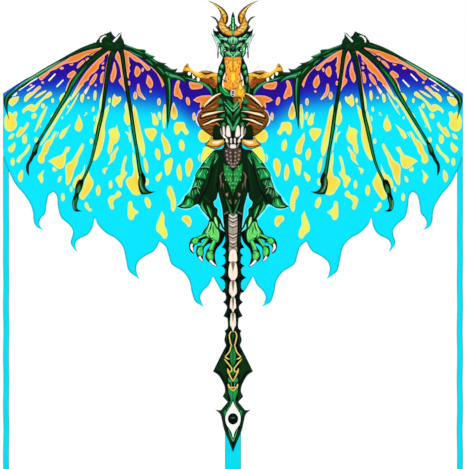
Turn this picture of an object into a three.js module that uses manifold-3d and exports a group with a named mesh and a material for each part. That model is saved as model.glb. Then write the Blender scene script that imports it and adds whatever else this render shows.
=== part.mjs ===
// Dragon kite: a printed ripstop sail on a glass-fibre frame, with a soft tail and three streamers.
// Millimetres. X runs across the wings, +Z runs up the spine, and the printed face looks along -Y,
// so the frame is on the +Y side. The origin is the middle of the tow eyelet, in the sail.
// Outlines are drawn for one side as [distance from the spine, height], and used on both sides.
import * as THREE from 'three';
import { mergeVertices } from 'three/addons/utils/BufferGeometryUtils.js';
import Module from 'manifold-3d';

const wasm = await Module();
wasm.setup();

// ---------------------------------------------------------------- driving dimensions
const GAP = 0.3; // clearance between pieces that touch
const SAIL = 0.6; // sail cloth with its hem
const SAIL_BACK = SAIL / 2;
const SEWN = SAIL_BACK + GAP; // front of whatever is sewn on the back of the sail
const TAPE = 0.6; // folded tape of the rod sleeves and tabs
const PATCH = 0.5; // reinforcing patch

const FOLD_X = 46; // the wings flex back about this line
const SEAM = 0.3; // half the gap along a seam
const NECK_Z = 58; // seam between head and body
const TAIL_Z = -601; // seam between body and tail

const SPAR_R = 2.5; // 5 mm glass-fibre rod: spine and cross spar
const EDGE_R = 2; // 4 mm glass-fibre rod: leading edges
const RUN = 0.3; // clearance round a rod in its socket
const SPINE_Y = 6.2;
const SPAR_Y = 14;
const SPAR_TIP_Y = 8;
const SPAR_Z = -10;
const EDGE_Y = 5.6;
const SPINE_TOP = 168;
const SPINE_JOIN = -215;
const SPINE_FOOT = -593;
const SPAR_START = 54;
const SPAR_END = 670;

const TIP = [668, -8]; // where the outer edge rod points at the wing tip
const WRIST = [385, 152]; // corner of the leading edge
const CLIP = [90, 2.5]; // where the inner edge rod meets the spar clip
const ROD_SETBACK = 7; // rod ends stop this far from a corner

const FERRULE_HALF = 25;
const CAP_WALL = 3; // closed end of a spine cap
const CAP_LENGTH = 16;
const CAP_R = SPAR_R + 1.2;
const STOP_RINGS = [['spine_stop_upper', 9], ['spine_stop_lower', -29]]; // name, lower end
const STOP_LENGTH = 8;
const SPINE_SLEEVES = [
  ['spine_sleeve_upper', 30, 142],
  ['spine_sleeve_middle', -182, -48],
  ['spine_sleeve_lower', -564, -248],
];
const POCKETS = [['head_pocket', 148, 176], ['foot_pocket', -599, -572]];
const SPINE_FLANGE = 12; // half width of a sleeve on the sail
const POCKET_FLANGE = 15;
const EDGE_FLANGE = 9;
const SLEEVE_CLEAR = 42; // edge sleeves start this far from a corner

const JOINT_TUBE = [15, 72]; // ends of the soft tube that the wing flexes about
const JOINT_TUBE_R = 4.3;
const SPIGOT = [8, 38]; // ends of the centre fitting's spigot
const FITTING_LOW = -20;
const FITTING_HIGH = 8;
const SOCKET = 26; // length of a connector's socket
const SOCKET_WALL = 2.2;
const TIP_SOCKET = [644, 675];
const CLIP_SOCKET = [78, 102];
const CLIP_WEB = [82, 96];
const KEEPERS = [['inner', 250], ['outer', 455]]; // straps that hold the spar to the sail
const KEEPER_WIDTH = 14;
const KEEPER_REACH = 14; // half height of a keeper on the sail
const TAB_TOP = -22; // top of a side streamer's tab
const TAIL_TAB_TOP = -998;

const RIBBON = 0.5;
const RIBBON_TOP = -40.6;
const RIBBON_BOTTOM = -1520;
const SIDE_RIBBON_X = [672.5, 690];
const TAIL_RIBBON_TOP = -1012.6;
const TAIL_RIBBON_HALF = 24;
const RIBBON_WAVE = 150; // length of one soft wave
const RIBBON_CALM = 150; // a streamer hangs straight for this length
const RIBBON_GROWTH = 500; // and its waves grow over this one
const RIBBON_SWELL = 4;

const RING_R = 6.2; // tow ring, middle of its wire
const RING_WIRE = 1;
const LUG_Y = -4.6; // hole in the tow lug
const EYELET_R = 7.5;
const BARREL_R = 4.8;
const BORE_R = 4.2;

// ---------------------------------------------------------------- materials
function material(color, roughness, metalness = 0) {
  return () => new THREE.MeshStandardMaterial({ color, roughness, metalness });
}
const cloth = material(0x12c4e8, 0.75);
const clothGreen = material(0x123f1c, 0.75);
const tape = material(0x101418, 0.85);
const fibreglass = material(0x1b1c1f, 0.35);
const vinyl = material(0x0c0c0e, 0.5);
const moulded = material(0x17181a, 0.55);
const alloy = material(0xb9bdc2, 0.35, 1);
const steel = material(0xc9ccd0, 0.2, 1);

// ---------------------------------------------------------------- helpers
const kite = new THREE.Group();
const AXIS_X = new THREE.Vector3(1, 0, 0);
const AXIS_Y = new THREE.Vector3(0, 1, 0);
const AXIS_Z = new THREE.Vector3(0, 0, 1);

function add(name, geometry, look) {
  const mesh = new THREE.Mesh(geometry, look());
  mesh.name = name;
  kite.add(mesh);
  return mesh;
}

// Runs of points become one line: smooth inside a run, with a corner where two runs meet.
function smooth(runs, perSpan = 2) {
  const points = [];
  for (const run of runs) {
    const curve = new THREE.SplineCurve(run.map(([d, z]) => new THREE.Vector2(d, z)));
    const count = run.length > 2 ? (run.length - 1) * perSpan : 1;
    const spots = curve.getPoints(count);
    points.push(...(points.length ? spots.slice(1) : spots));
  }
  return points.map((p) => [p.x, p.y]);
}

function onSide(points, side) {
  return points.map(([d, z]) => [side * d, z]);
}

// Both sides of a half outline that starts and ends near the middle.
function bothSides(half) {
  const other = half.map(([d, z]) => [-d, z]).reverse();
  return [...half, ...other];
}

// A shape whose outline runs anticlockwise, as its holes need.
function shapeOf(points) {
  const outline = points.map(([x, y]) => new THREE.Vector2(x, y));
  if (THREE.ShapeUtils.isClockWise(outline)) outline.reverse();
  return new THREE.Shape(outline);
}

function circle(x, y, radius, sides) {
  return Array.from({ length: sides }, (_, i) => {
    const angle = (i / sides) * Math.PI * 2;
    return new THREE.Vector2(x + radius * Math.cos(angle), y - radius * Math.sin(angle));
  });
}

function roundHole(x, y, radius) {
  return new THREE.Path(circle(x, y, radius, 20));
}

// A flat piece standing in the sail's plane, from depth front to front + thickness.
function plate(points, front, thickness, holes = []) {
  const shape = shapeOf(points);
  for (const hole of holes) shape.holes.push(hole);
  const geometry = new THREE.ExtrudeGeometry(shape, { depth: thickness, bevelEnabled: false });
  geometry.rotateX(Math.PI / 2);
  geometry.translate(0, front + thickness, 0);
  return geometry;
}

// Turns a geometry built along +Y so that it runs from a towards b, starting at a.
function alongLine(geometry, a, b) {
  const direction = b.clone().sub(a).normalize();
  const turn = new THREE.Quaternion().setFromUnitVectors(AXIS_Y, direction);
  geometry.applyQuaternion(turn);
  geometry.translate(a.x, a.y, a.z);
  return geometry;
}

function rodBetween(a, b, radius, sides = 12) {
  const length = a.distanceTo(b);
  const geometry = new THREE.CylinderGeometry(radius, radius, length, sides);
  geometry.translate(0, length / 2, 0);
  return alongLine(geometry, a, b);
}

function tubeBetween(a, b, outer, inner, sides = 16) {
  const length = a.distanceTo(b);
  const profile = [[inner, 0], [outer, 0], [outer, length], [inner, length], [inner, 0]];
  const points = profile.map(([r, y]) => new THREE.Vector2(r, y));
  return alongLine(outward(new THREE.LatheGeometry(points, sides)), a, b);
}

// A cap with a closed end at a and an open mouth at b.
function capBetween(a, b, outer, inner, wall, sides = 16) {
  const length = a.distanceTo(b);
  const edge = outer * 0.3;
  const profile = [
    [0, 0], [outer - edge, 0], [outer, edge], [outer, length],
    [inner, length], [inner, wall], [0, wall],
  ];
  const points = profile.map(([r, y]) => new THREE.Vector2(r, y));
  return alongLine(outward(new THREE.LatheGeometry(points, sides)), a, b);
}

function merged(geometry) {
  const bare = geometry.clone();
  bare.deleteAttribute('normal');
  bare.deleteAttribute('uv');
  return mergeVertices(bare, 1e-4);
}

// Makes sure that the faces of a closed geometry look outwards.
function outward(geometry) {
  const bare = merged(geometry);
  const place = bare.attributes.position;
  const index = Array.from(bare.index.array);
  const [a, b, c] = [new THREE.Vector3(), new THREE.Vector3(), new THREE.Vector3()];
  let volume = 0;
  for (let i = 0; i < index.length; i += 3) {
    a.fromBufferAttribute(place, index[i]);
    b.fromBufferAttribute(place, index[i + 1]);
    c.fromBufferAttribute(place, index[i + 2]);
    volume += a.dot(b.cross(c));
  }
  if (volume < 0) index.reverse();
  bare.setIndex(index);
  return bare;
}

function solid(geometry) {
  const bare = merged(geometry);
  return new wasm.Manifold(new wasm.Mesh({
    numProp: 3,
    vertProperties: new Float32Array(bare.attributes.position.array),
    triVerts: new Uint32Array(bare.index.array),
  }));
}

function joined(...geometries) {
  return geometries.map(solid).reduce((whole, piece) => whole.add(piece));
}

function geometryOf(body) {
  const mesh = body.getMesh();
  const geometry = new THREE.BufferGeometry();
  geometry.setAttribute('position', new THREE.BufferAttribute(mesh.vertProperties, 3));
  geometry.setIndex(new THREE.BufferAttribute(mesh.triVerts, 1));
  return geometry;
}

function box(low, high) {
  const size = high.map((v, i) => v - low[i]);
  const geometry = new THREE.BoxGeometry(...size);
  geometry.translate(...low.map((v, i) => v + size[i] / 2));
  return geometry;
}

const at = (side, d, y, z) => new THREE.Vector3(side * d, y, z);

// Cross-section of a tape sewn down on both sides of a rod: [across, depth behind the sail].
function hoopProfile(depth, radius, flange) {
  const foot = radius + TAPE + 1.6;
  const arc = (r, from, to, steps) => Array.from({ length: steps + 1 }, (_, i) => {
    const angle = from + ((to - from) * i) / steps;
    return [r * Math.cos(angle), depth + r * Math.sin(angle)];
  });
  const inner = radius + RUN;
  const outer = inner + TAPE;
  const low = -Math.PI / 9;
  return [
    [-flange, SEWN], [-flange, SEWN + TAPE], [-foot, SEWN + TAPE],
    ...arc(outer, Math.PI - low, low, 8),
    [foot, SEWN + TAPE], [flange, SEWN + TAPE], [flange, SEWN],
    [foot - TAPE, SEWN],
    ...arc(inner, low, Math.PI - low, 8),
    [-foot + TAPE, SEWN],
  ];
}

// A sleeve of that section, from a to b in the plane of the sail.
function sleeveBetween(a, b, depth, radius, flange) {
  const length = a.distanceTo(b);
  const shape = shapeOf(hoopProfile(depth, radius, flange));
  const geometry = new THREE.ExtrudeGeometry(shape, { depth: length, bevelEnabled: false });
  const along = b.clone().sub(a).normalize();
  const across = new THREE.Vector3().crossVectors(AXIS_Y, along);
  geometry.applyMatrix4(new THREE.Matrix4().makeBasis(across, AXIS_Y, along));
  geometry.translate(a.x, 0, a.z);
  return geometry;
}

// ---------------------------------------------------------------- sail outlines
const SHOULDER = [
  [[FOLD_X + SEAM, NECK_Z], [60, 61], [64, 64]],
  [[64, 64], [70, 75], [73, 85], [69, 96]],
  [[69, 96], [77, 86], [81, 76], [83, 66]],
  [[83, 66], [92, 66], [103, 61], [116, 65], [127, 74], [136, 88]],
  [[136, 88], [144, 81], [149, 71], [152, 61]],
  [[152, 61], [172, 61]],
  [[172, 61], [165, 73]],
  [[165, 73], [176, 70], [187, 72], [197, 79], [206, 84]],
  [[206, 84], [199, 88]],
  [[199, 88], [214, 90], [228, 95], [240, 103]],
  [[240, 103], [233, 108]],
  [[233, 108], [246, 113], [263, 121]],
  [[263, 121], [261, 127]],
];
const WRIST_KNOB = [
  [[261, 127], [270, 130], [285, 131], [300, 136], [315, 141], [326, 146]],
  [[326, 146], [328, 156], [334, 166], [334, 181]],
  [[334, 181], [343, 177], [352, 166]],
  [[352, 166], [360, 173], [366, 184]],
  [[366, 184], [379, 180], [393, 174], [403, 163], [413, 151]],
];
const LEADING_EDGE = [
  [
    [413, 151], [450, 137], [480, 122], [510, 105], [540, 88], [570, 71], [600, 52],
    [630, 36], [690, -3],
  ],
];
const OUTER_EDGE = [
  [[690, -3], [690, -190]],
  [[690, -190], [683, -212], [672, -237], [660, -262], [645, -285], [628, -304], [608, -335],
    [600, -360], [598, -385], [589, -403], [570, -413]],
];
const FLAMES = [
  [[570, -413], [581, -394], [575, -376], [563, -362], [559, -335], [552, -308], [538, -298]],
  [[538, -298], [528, -312], [525, -342], [516, -374], [492, -396], [480, -415], [483, -434],
    [487, -450], [478, -468], [467, -478]],
  [[467, -478], [473, -456], [463, -440], [436, -426], [421, -404], [415, -375]],
  [[415, -375], [404, -398], [380, -422], [352, -438], [330, -464], [321, -500], [312, -535],
    [281, -560]],
  [[281, -560], [290, -532], [284, -508], [262, -490], [236, -475], [220, -447]],
  [[220, -447], [202, -463], [193, -490], [183, -516], [150, -538], [131, -565], [124, -598],
    [113, -627], [88, -643]],
  [[88, -643], [98, -616], [90, -596], [72, -577], [60, -552]],
  [[60, -552], [FOLD_X + SEAM, -577]],
];
const BODY_EDGE = [
  [[FOLD_X - SEAM, NECK_Z - SEAM], [FOLD_X - SEAM, -577.5]],
  [[FOLD_X - SEAM, -577.5], [34, -597], [25, TAIL_Z + SEAM]],
];
const HEAD_EDGE = [
  [[FOLD_X - SEAM, NECK_Z + SEAM], [43, 76], [36, 91], [31, 105]],
  [[31, 105], [42, 122]],
  [[42, 122], [44, 102]],
  [[44, 102], [47, 103]],
  [[47, 103], [48, 128], [53, 150], [67, 179]],
  [[67, 179], [57, 170]],
  [[57, 170], [61, 194]],
  [[61, 194], [54, 185], [45, 184]],
  [[45, 184], [53, 198]],
  [[53, 198], [47, 204], [53, 217], [68, 229]],
  [[68, 229], [54, 226], [43, 213]],
  [[43, 213], [37, 228], [43, 248], [58, 264], [78, 277]],
  [[78, 277], [50, 266], [28, 251], [15, 232], [15, 213], [22, 203]],
  [[22, 203], [15, 197]],
  [[15, 197], [7, 207]],
  [[7, 207], [5, 228], [1, 244]],
];
const TAIL_EDGE = [
  [[24, TAIL_Z - SEAM], [21, -613], [23, -622], [30, -629]],
  [[30, -629], [20, -639], [19, -650], [29, -671]],
  [[29, -671], [17, -677]],
  [[17, -677], [16, -705], [26, -715]],
  [[26, -715], [22, -723], [26, -742], [21, -759]],
  [[21, -759], [31, -778], [46, -808], [60, -837]],
  [[60, -837], [44, -848], [32, -867], [25, -884], [24, -898]],
  [[24, -898], [31, -912]],
  [[31, -912], [16, -928]],
  [[16, -928], [29, -944], [38, -953], [53, -951]],
  [[53, -951], [38, -966], [33, -985], [26, -1014], [12, -1047], [1, -1078]],
];

// ---------------------------------------------------------------- head, body and tail cloth
function printedCloth() {
  const body = bothSides(smooth(BODY_EDGE));
  add('head_panel', plate(bothSides(smooth(HEAD_EDGE)), -SAIL_BACK, SAIL), clothGreen);
  add('body_panel', plate(body, -SAIL_BACK, SAIL, [roundHole(0, 0, BARREL_R + GAP)]), cloth);
  add('tail_panel', plate(bothSides(smooth(TAIL_EDGE)), -SAIL_BACK, SAIL), clothGreen);
}

// ---------------------------------------------------------------- spine
function spine() {
  const up = (z) => new THREE.Vector3(0, SPINE_Y, z);
  add('spine_upper_rod', rodBetween(up(SPINE_JOIN + GAP), up(SPINE_TOP), SPAR_R), fibreglass);
  add('spine_lower_rod', rodBetween(up(SPINE_FOOT), up(SPINE_JOIN - GAP), SPAR_R), fibreglass);
  add('spine_ferrule', tubeBetween(
    up(SPINE_JOIN - FERRULE_HALF), up(SPINE_JOIN + FERRULE_HALF), SPAR_R + 1, SPAR_R + RUN,
  ), alloy);
  const headEnd = SPINE_TOP + RUN + CAP_WALL;
  const footEnd = SPINE_FOOT - RUN - CAP_WALL;
  add('spine_head_cap', capBetween(
    up(headEnd), up(headEnd - CAP_LENGTH), CAP_R, SPAR_R + RUN, CAP_WALL,
  ), vinyl);
  add('spine_foot_cap', capBetween(
    up(footEnd), up(footEnd + CAP_LENGTH), CAP_R, SPAR_R + RUN, CAP_WALL,
  ), vinyl);
  for (const [name, low] of STOP_RINGS) {
    add(name, tubeBetween(up(low), up(low + STOP_LENGTH), SPAR_R + 2, SPAR_R + RUN), vinyl);
  }
  for (const [name, low, high] of SPINE_SLEEVES) {
    add(name, sleeveBetween(up(low), up(high), SPINE_Y, SPAR_R, SPINE_FLANGE), tape);
  }
  for (const [name, low, high] of POCKETS) {
    add(name, sleeveBetween(up(low), up(high), SPINE_Y, CAP_R, POCKET_FLANGE), tape);
  }
}

// ---------------------------------------------------------------- centre fitting with its tow lug
function centreFitting() {
  const plan = [
    [-6.5, 2.5], [6.5, 2.5], [6.5, 8.5], [12, 10.5], [12, 16.5], [10, 18.5],
    [-10, 18.5], [-12, 16.5], [-12, 10.5], [-6.5, 8.5],
  ];
  const block = new THREE.ExtrudeGeometry(shapeOf(plan), {
    depth: FITTING_HIGH - FITTING_LOW, bevelEnabled: false,
  });
  block.translate(0, 0, FITTING_LOW);
  const lugShape = new THREE.Shape();
  const lugHalf = 3.2;
  lugShape.moveTo(3.5, -lugHalf);
  lugShape.lineTo(3.5, lugHalf);
  lugShape.lineTo(LUG_Y, lugHalf);
  lugShape.absarc(LUG_Y, 0, lugHalf, Math.PI / 2, Math.PI * 1.5, false);
  lugShape.holes.push(roundHole(LUG_Y, 0, RING_WIRE + 0.8));
  const lugThick = 3;
  const lug = new THREE.ExtrudeGeometry(lugShape, {
    depth: lugThick, bevelEnabled: false, curveSegments: 10,
  });
  lug.applyMatrix4(new THREE.Matrix4().makeBasis(AXIS_Y, AXIS_Z, AXIS_X));
  lug.translate(-lugThick / 2, 0, 0);
  const [spigotStart, spigotEnd] = SPIGOT;
  const spigots = [-1, 1].map((side) => rodBetween(
    at(side, spigotStart, SPAR_Y, SPAR_Z), at(side, spigotEnd, SPAR_Y, SPAR_Z), SPAR_R - 0.1,
  ));
  const beyond = 5;
  const spineHole = rodBetween(
    new THREE.Vector3(0, SPINE_Y, FITTING_LOW - beyond),
    new THREE.Vector3(0, SPINE_Y, FITTING_HIGH + beyond), SPAR_R + RUN,
  );
  const body = joined(block, lug, ...spigots).subtract(solid(spineHole));
  add('centre_fitting', geometryOf(body), moulded);
}

// ---------------------------------------------------------------- tow eyelet, patch and ring
function towPoint() {
  const flange = 1;
  const front = -SAIL_BACK - GAP - flange;
  const washerFront = SEWN + PATCH + GAP - 0.1;
  const washerBack = washerFront + 0.5;
  const profile = [
    [BORE_R, front + 0.3], [BORE_R + 0.6, front], [EYELET_R - 0.6, front],
    [EYELET_R, front + flange], [BARREL_R, front + flange], [BARREL_R, washerBack],
    [BORE_R, washerBack], [BORE_R, front + 0.3],
  ];
  const turned = (points) => outward(
    new THREE.LatheGeometry(points.map(([r, y]) => new THREE.Vector2(r, y)), 24),
  );
  add('tow_eyelet', turned(profile), steel);
  const inner = BARREL_R + 0.2;
  const washer = [
    [inner, washerFront], [EYELET_R, washerFront], [EYELET_R, washerBack],
    [inner, washerBack], [inner, washerFront],
  ];
  add('tow_washer', turned(washer), steel);
  const patch = circle(0, 0, 21, 24).map((p) => [p.x, p.y]);
  add('tow_patch', plate(patch, SEWN, PATCH, [roundHole(0, 0, BARREL_R + GAP)]), tape);
  const ring = new THREE.TorusGeometry(RING_R, RING_WIRE, 8, 28);
  ring.rotateX(Math.PI / 2);
  ring.translate(0, LUG_Y, -RING_R);
  add('tow_ring', ring, steel);
}

// ---------------------------------------------------------------- one wing
function sparDepth(d) {
  return THREE.MathUtils.mapLinear(d, SPAR_START, SPAR_END, SPAR_Y, SPAR_TIP_Y);
}

// Point on the line from a to b, at a distance from a.
function stepAlong(a, b, distance) {
  const length = Math.hypot(b[0] - a[0], b[1] - a[1]);
  return a.map((v, i) => v + ((b[i] - v) * distance) / length);
}

function spanOf(a, b) {
  return Math.hypot(b[0] - a[0], b[1] - a[1]);
}

// A connector made of round sockets, each from start to mouth, joined by webs and bored for the rods.
function socketed(sockets, webs, bores) {
  const shells = sockets.map(([a, b, radius]) => rodBetween(a, b, radius, 14));
  let body = joined(...shells, ...webs);
  for (const [a, b, radius] of bores) body = body.subtract(solid(rodBetween(a, b, radius, 14)));
  return geometryOf(body);
}

function keeperStrap(side, d) {
  const depth = sparDepth(d);
  const inner = SPAR_R + 0.4;
  const outer = inner + TAPE;
  const arc = (r) => Array.from({ length: 9 }, (_, i) => {
    const angle = (Math.PI * i) / 8;
    return [depth + r * Math.sin(angle), SPAR_Z + r * Math.cos(angle)];
  });
  const low = SPAR_Z - KEEPER_REACH;
  const high = SPAR_Z + KEEPER_REACH;
  const outline = [
    [SEWN, low], [SEWN + TAPE, low], [SEWN + TAPE, SPAR_Z - outer],
    ...arc(outer).reverse(),
    [SEWN + TAPE, SPAR_Z + outer], [SEWN + TAPE, high], [SEWN, high],
  ];
  const shape = shapeOf(outline);
  const bed = SEWN + 2 * TAPE;
  const hole = [[bed, SPAR_Z - inner], ...arc(inner).reverse(), [bed, SPAR_Z + inner]];
  shape.holes.push(new THREE.Path(hole.map(([y, z]) => new THREE.Vector2(y, z))));
  const geometry = new THREE.ExtrudeGeometry(shape, { depth: KEEPER_WIDTH, bevelEnabled: false });
  geometry.applyMatrix4(new THREE.Matrix4().makeBasis(AXIS_Y, AXIS_Z, AXIS_X));
  geometry.translate(side * d - KEEPER_WIDTH / 2, 0, 0);
  return geometry;
}

function wing(side, word) {
  const name = (piece) => `${piece}_${word}`;
  const outline = smooth([...SHOULDER, ...WRIST_KNOB, ...LEADING_EDGE, ...OUTER_EDGE, ...FLAMES]);
  add(name('wing_panel'), plate(onSide(outline, side), -SAIL_BACK, SAIL), cloth);

  const spar = (d) => at(side, d, sparDepth(d), SPAR_Z);
  const edge = ([d, z]) => at(side, d, EDGE_Y, z);
  add(name('spar_rod'), rodBetween(spar(SPAR_START), spar(SPAR_END), SPAR_R), fibreglass);
  const [tubeStart, tubeEnd] = JOINT_TUBE;
  add(name('spar_joint_tube'), tubeBetween(
    at(side, tubeStart, SPAR_Y, SPAR_Z), at(side, tubeEnd, SPAR_Y, SPAR_Z), JOINT_TUBE_R, SPAR_R + 0.5,
  ), vinyl);

  const outerLength = spanOf(WRIST, TIP);
  const innerLength = spanOf(WRIST, CLIP);
  const outerAt = (distance) => edge(stepAlong(WRIST, TIP, distance));
  const innerAt = (distance) => edge(stepAlong(WRIST, CLIP, distance));
  add(name('edge_rod_outer'), rodBetween(
    outerAt(ROD_SETBACK), outerAt(outerLength - ROD_SETBACK), EDGE_R, 12,
  ), fibreglass);
  add(name('edge_rod_inner'), rodBetween(
    innerAt(ROD_SETBACK), innerAt(innerLength - ROD_SETBACK), EDGE_R, 12,
  ), fibreglass);
  add(name('edge_sleeve_outer'), sleeveBetween(
    outerAt(SLEEVE_CLEAR), outerAt(outerLength - SLEEVE_CLEAR), EDGE_Y, EDGE_R, EDGE_FLANGE,
  ), tape);
  add(name('edge_sleeve_inner'), sleeveBetween(
    innerAt(SLEEVE_CLEAR), innerAt(innerLength - SLEEVE_CLEAR), EDGE_Y, EDGE_R, EDGE_FLANGE,
  ), tape);

  const socketRadius = EDGE_R + SOCKET_WALL;
  const sparSocketRadius = SPAR_R + SOCKET_WALL;
  const bore = EDGE_R + RUN;
  const beyond = 5; // bores run past a socket's mouth
  const knuckle = new THREE.SphereGeometry(socketRadius, 14, 10);
  knuckle.translate(...edge(WRIST).toArray());
  const stop = ROD_SETBACK - GAP;
  add(name('wrist_connector'), socketed(
    [[edge(WRIST), outerAt(SOCKET), socketRadius], [edge(WRIST), innerAt(SOCKET), socketRadius]],
    [knuckle],
    [[outerAt(stop), outerAt(SOCKET + beyond), bore], [innerAt(stop), innerAt(SOCKET + beyond), bore]],
  ), vinyl);

  const [tipMouth, tipEnd] = TIP_SOCKET;
  const tipWeb = [
    [tipMouth + 6, EDGE_Y - 1, SPAR_Z - 3], [tipEnd - 3, SPAR_TIP_Y + 3, TIP[1] + 6],
  ];
  const [webLow, webHigh] = tipWeb;
  const tipLow = [Math.min(side * webLow[0], side * webHigh[0]), webLow[1], webLow[2]];
  const tipHigh = [Math.max(side * webLow[0], side * webHigh[0]), webHigh[1], webHigh[2]];
  add(name('tip_connector'), socketed(
    [
      [spar(tipEnd), spar(tipMouth), sparSocketRadius],
      [outerAt(outerLength), outerAt(outerLength - SOCKET), socketRadius],
    ],
    [box(tipLow, tipHigh)],
    [
      [spar(SPAR_END + GAP), spar(tipMouth - beyond), SPAR_R + RUN],
      [outerAt(outerLength - stop), outerAt(outerLength - SOCKET - beyond), bore],
    ],
  ), vinyl);

  const [clipInner, clipOuter] = CLIP_SOCKET;
  const clipWeb = CLIP_WEB.map((d) => side * d);
  const clipLow = [Math.min(...clipWeb), EDGE_Y - 1, SPAR_Z - 3];
  const clipHigh = [Math.max(...clipWeb), SPAR_Y, CLIP[1] + 2];
  add(name('spar_clip'), socketed(
    [
      [spar(clipInner), spar(clipOuter), sparSocketRadius],
      [innerAt(innerLength), innerAt(innerLength - SOCKET), socketRadius],
    ],
    [box(clipLow, clipHigh)],
    [
      [spar(clipInner - beyond), spar(clipOuter + beyond), SPAR_R + RUN],
      [innerAt(innerLength - stop), innerAt(innerLength - SOCKET - beyond), bore],
    ],
  ), moulded);

  const wristPatch = smooth([
    [[352, 134], [345, 148], [356, 160], [385, 167], [408, 150], [418, 141], [404, 130], [385, 128],
      [352, 134]],
  ]).slice(1);
  add(name('wrist_patch'), plate(onSide(wristPatch, side), SEWN, PATCH), tape);
  const tipPatch = [[638, 2], [650, 14], [686, -5], [686, -18], [645, -24]];
  add(name('tip_patch'), plate(onSide(tipPatch, side), SEWN, PATCH), tape);

  for (const [place, d] of KEEPERS) {
    add(name(`spar_keeper_${place}`), keeperStrap(side, d), tape);
  }
  const [tabIn, tabOut] = SIDE_RIBBON_X;
  const tabFoot = RIBBON_TOP + GAP;
  const tab = [[tabIn, tabFoot], [tabOut, tabFoot], [tabOut, TAB_TOP], [tabIn, TAB_TOP]];
  add(name('ribbon_tab'), plate(onSide(tab, side), SEWN, TAPE), tape);
}

// ---------------------------------------------------------------- streamers
// A ribbon hangs from top to bottom and bellies backwards in soft waves that grow down its length.
function ribbon(xLow, xHigh, top, bottom) {
  const length = top - bottom;
  const steps = 45;
  const middle = SEWN + RIBBON / 2;
  const line = Array.from({ length: steps + 1 }, (_, i) => {
    const down = (length * i) / steps;
    const grown = (down - RIBBON_CALM) / RIBBON_GROWTH;
    const swell = RIBBON_SWELL * THREE.MathUtils.clamp(grown, 0, 1);
    return [middle + swell * (1 - Math.cos((2 * Math.PI * down) / RIBBON_WAVE)), top - down];
  });
  const front = line.map(([y, z]) => [y - RIBBON / 2, z]);
  const back = line.map(([y, z]) => [y + RIBBON / 2, z]).reverse();
  const geometry = new THREE.ExtrudeGeometry(shapeOf([...front, ...back]), {
    depth: xHigh - xLow, bevelEnabled: false,
  });
  geometry.applyMatrix4(new THREE.Matrix4().makeBasis(AXIS_Y, AXIS_Z, AXIS_X));
  geometry.translate(xLow, 0, 0);
  return geometry;
}

function streamers() {
  const [inner, outer] = SIDE_RIBBON_X;
  add('ribbon_left', ribbon(-outer, -inner, RIBBON_TOP, RIBBON_BOTTOM), cloth);
  add('ribbon_right', ribbon(inner, outer, RIBBON_TOP, RIBBON_BOTTOM), cloth);
  const half = TAIL_RIBBON_HALF;
  add('ribbon_centre', ribbon(-half, half, TAIL_RIBBON_TOP, RIBBON_BOTTOM), cloth);
  const foot = TAIL_RIBBON_TOP + GAP;
  const tab = [[-half, foot], [half, foot], [half, TAIL_TAB_TOP], [-half, TAIL_TAB_TOP]];
  add('tail_ribbon_tab', plate(tab, SEWN, TAPE), tape);
}

printedCloth();
spine();
centreFitting();
towPoint();
wing(-1, 'left');
wing(1, 'right');
streamers();

export default kite;
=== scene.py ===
# A dragon kite as it hangs, seen square on: the printed sail, its rods and fittings, and three streamers.
# Lengths in the drawing of the print are millimetres, as (distance from the spine, height above the
# tow eyelet). Everything in Blender is in metres: X across the wings, Z up the spine, and the printed
# face looks along -Y.
import math
import bpy
import numpy as np
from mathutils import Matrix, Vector
from mathutils.geometry import delaunay_2d_cdt
from mathutils.kdtree import KDTree


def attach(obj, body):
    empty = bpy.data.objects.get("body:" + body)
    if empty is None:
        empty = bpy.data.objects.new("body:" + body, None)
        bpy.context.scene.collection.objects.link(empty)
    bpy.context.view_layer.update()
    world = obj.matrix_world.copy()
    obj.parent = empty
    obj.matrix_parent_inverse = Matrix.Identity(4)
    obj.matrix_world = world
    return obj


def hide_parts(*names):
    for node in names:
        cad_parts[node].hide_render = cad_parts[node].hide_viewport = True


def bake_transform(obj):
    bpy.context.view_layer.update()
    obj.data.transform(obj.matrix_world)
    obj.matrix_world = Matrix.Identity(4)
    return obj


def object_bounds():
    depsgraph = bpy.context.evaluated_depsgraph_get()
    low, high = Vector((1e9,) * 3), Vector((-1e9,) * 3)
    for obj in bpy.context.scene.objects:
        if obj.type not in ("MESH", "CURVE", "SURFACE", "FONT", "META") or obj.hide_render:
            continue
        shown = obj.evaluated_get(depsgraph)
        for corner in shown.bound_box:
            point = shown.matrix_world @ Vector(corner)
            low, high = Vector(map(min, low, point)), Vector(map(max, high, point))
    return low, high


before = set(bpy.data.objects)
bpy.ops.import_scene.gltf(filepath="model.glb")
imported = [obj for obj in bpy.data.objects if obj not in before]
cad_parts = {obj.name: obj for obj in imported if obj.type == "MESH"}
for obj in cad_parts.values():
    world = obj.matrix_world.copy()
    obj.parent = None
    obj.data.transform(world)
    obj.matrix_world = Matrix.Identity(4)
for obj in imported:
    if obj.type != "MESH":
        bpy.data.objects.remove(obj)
cad_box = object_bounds()

MM = 0.001
SIDES = ((-1, "left"), (1, "right"))
CHUNK = 300000  # the most point and outline pairs to work on at once
TINY = 1e-9


def placed(name, data):
    """An object in the scene that shows the data."""
    obj = bpy.data.objects.new(name, data)
    bpy.context.scene.collection.objects.link(obj)
    return obj


# ------------------------------------------------------------------ camera
VIEW_MIDDLE_Z = -0.426
VIEW_HEIGHT = 1.407
LENS = 120.0
SENSOR = 36.0
camera_data = bpy.data.cameras.new("camera")
camera_data.lens = LENS
camera_data.sensor_width = SENSOR
camera_data.clip_end = 60.0
camera = placed("camera", camera_data)
camera.location = (0.0, -VIEW_HEIGHT * LENS / SENSOR, VIEW_MIDDLE_Z)
camera.rotation_euler = (math.radians(90), 0.0, 0.0)
bpy.context.scene.camera = camera


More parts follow.
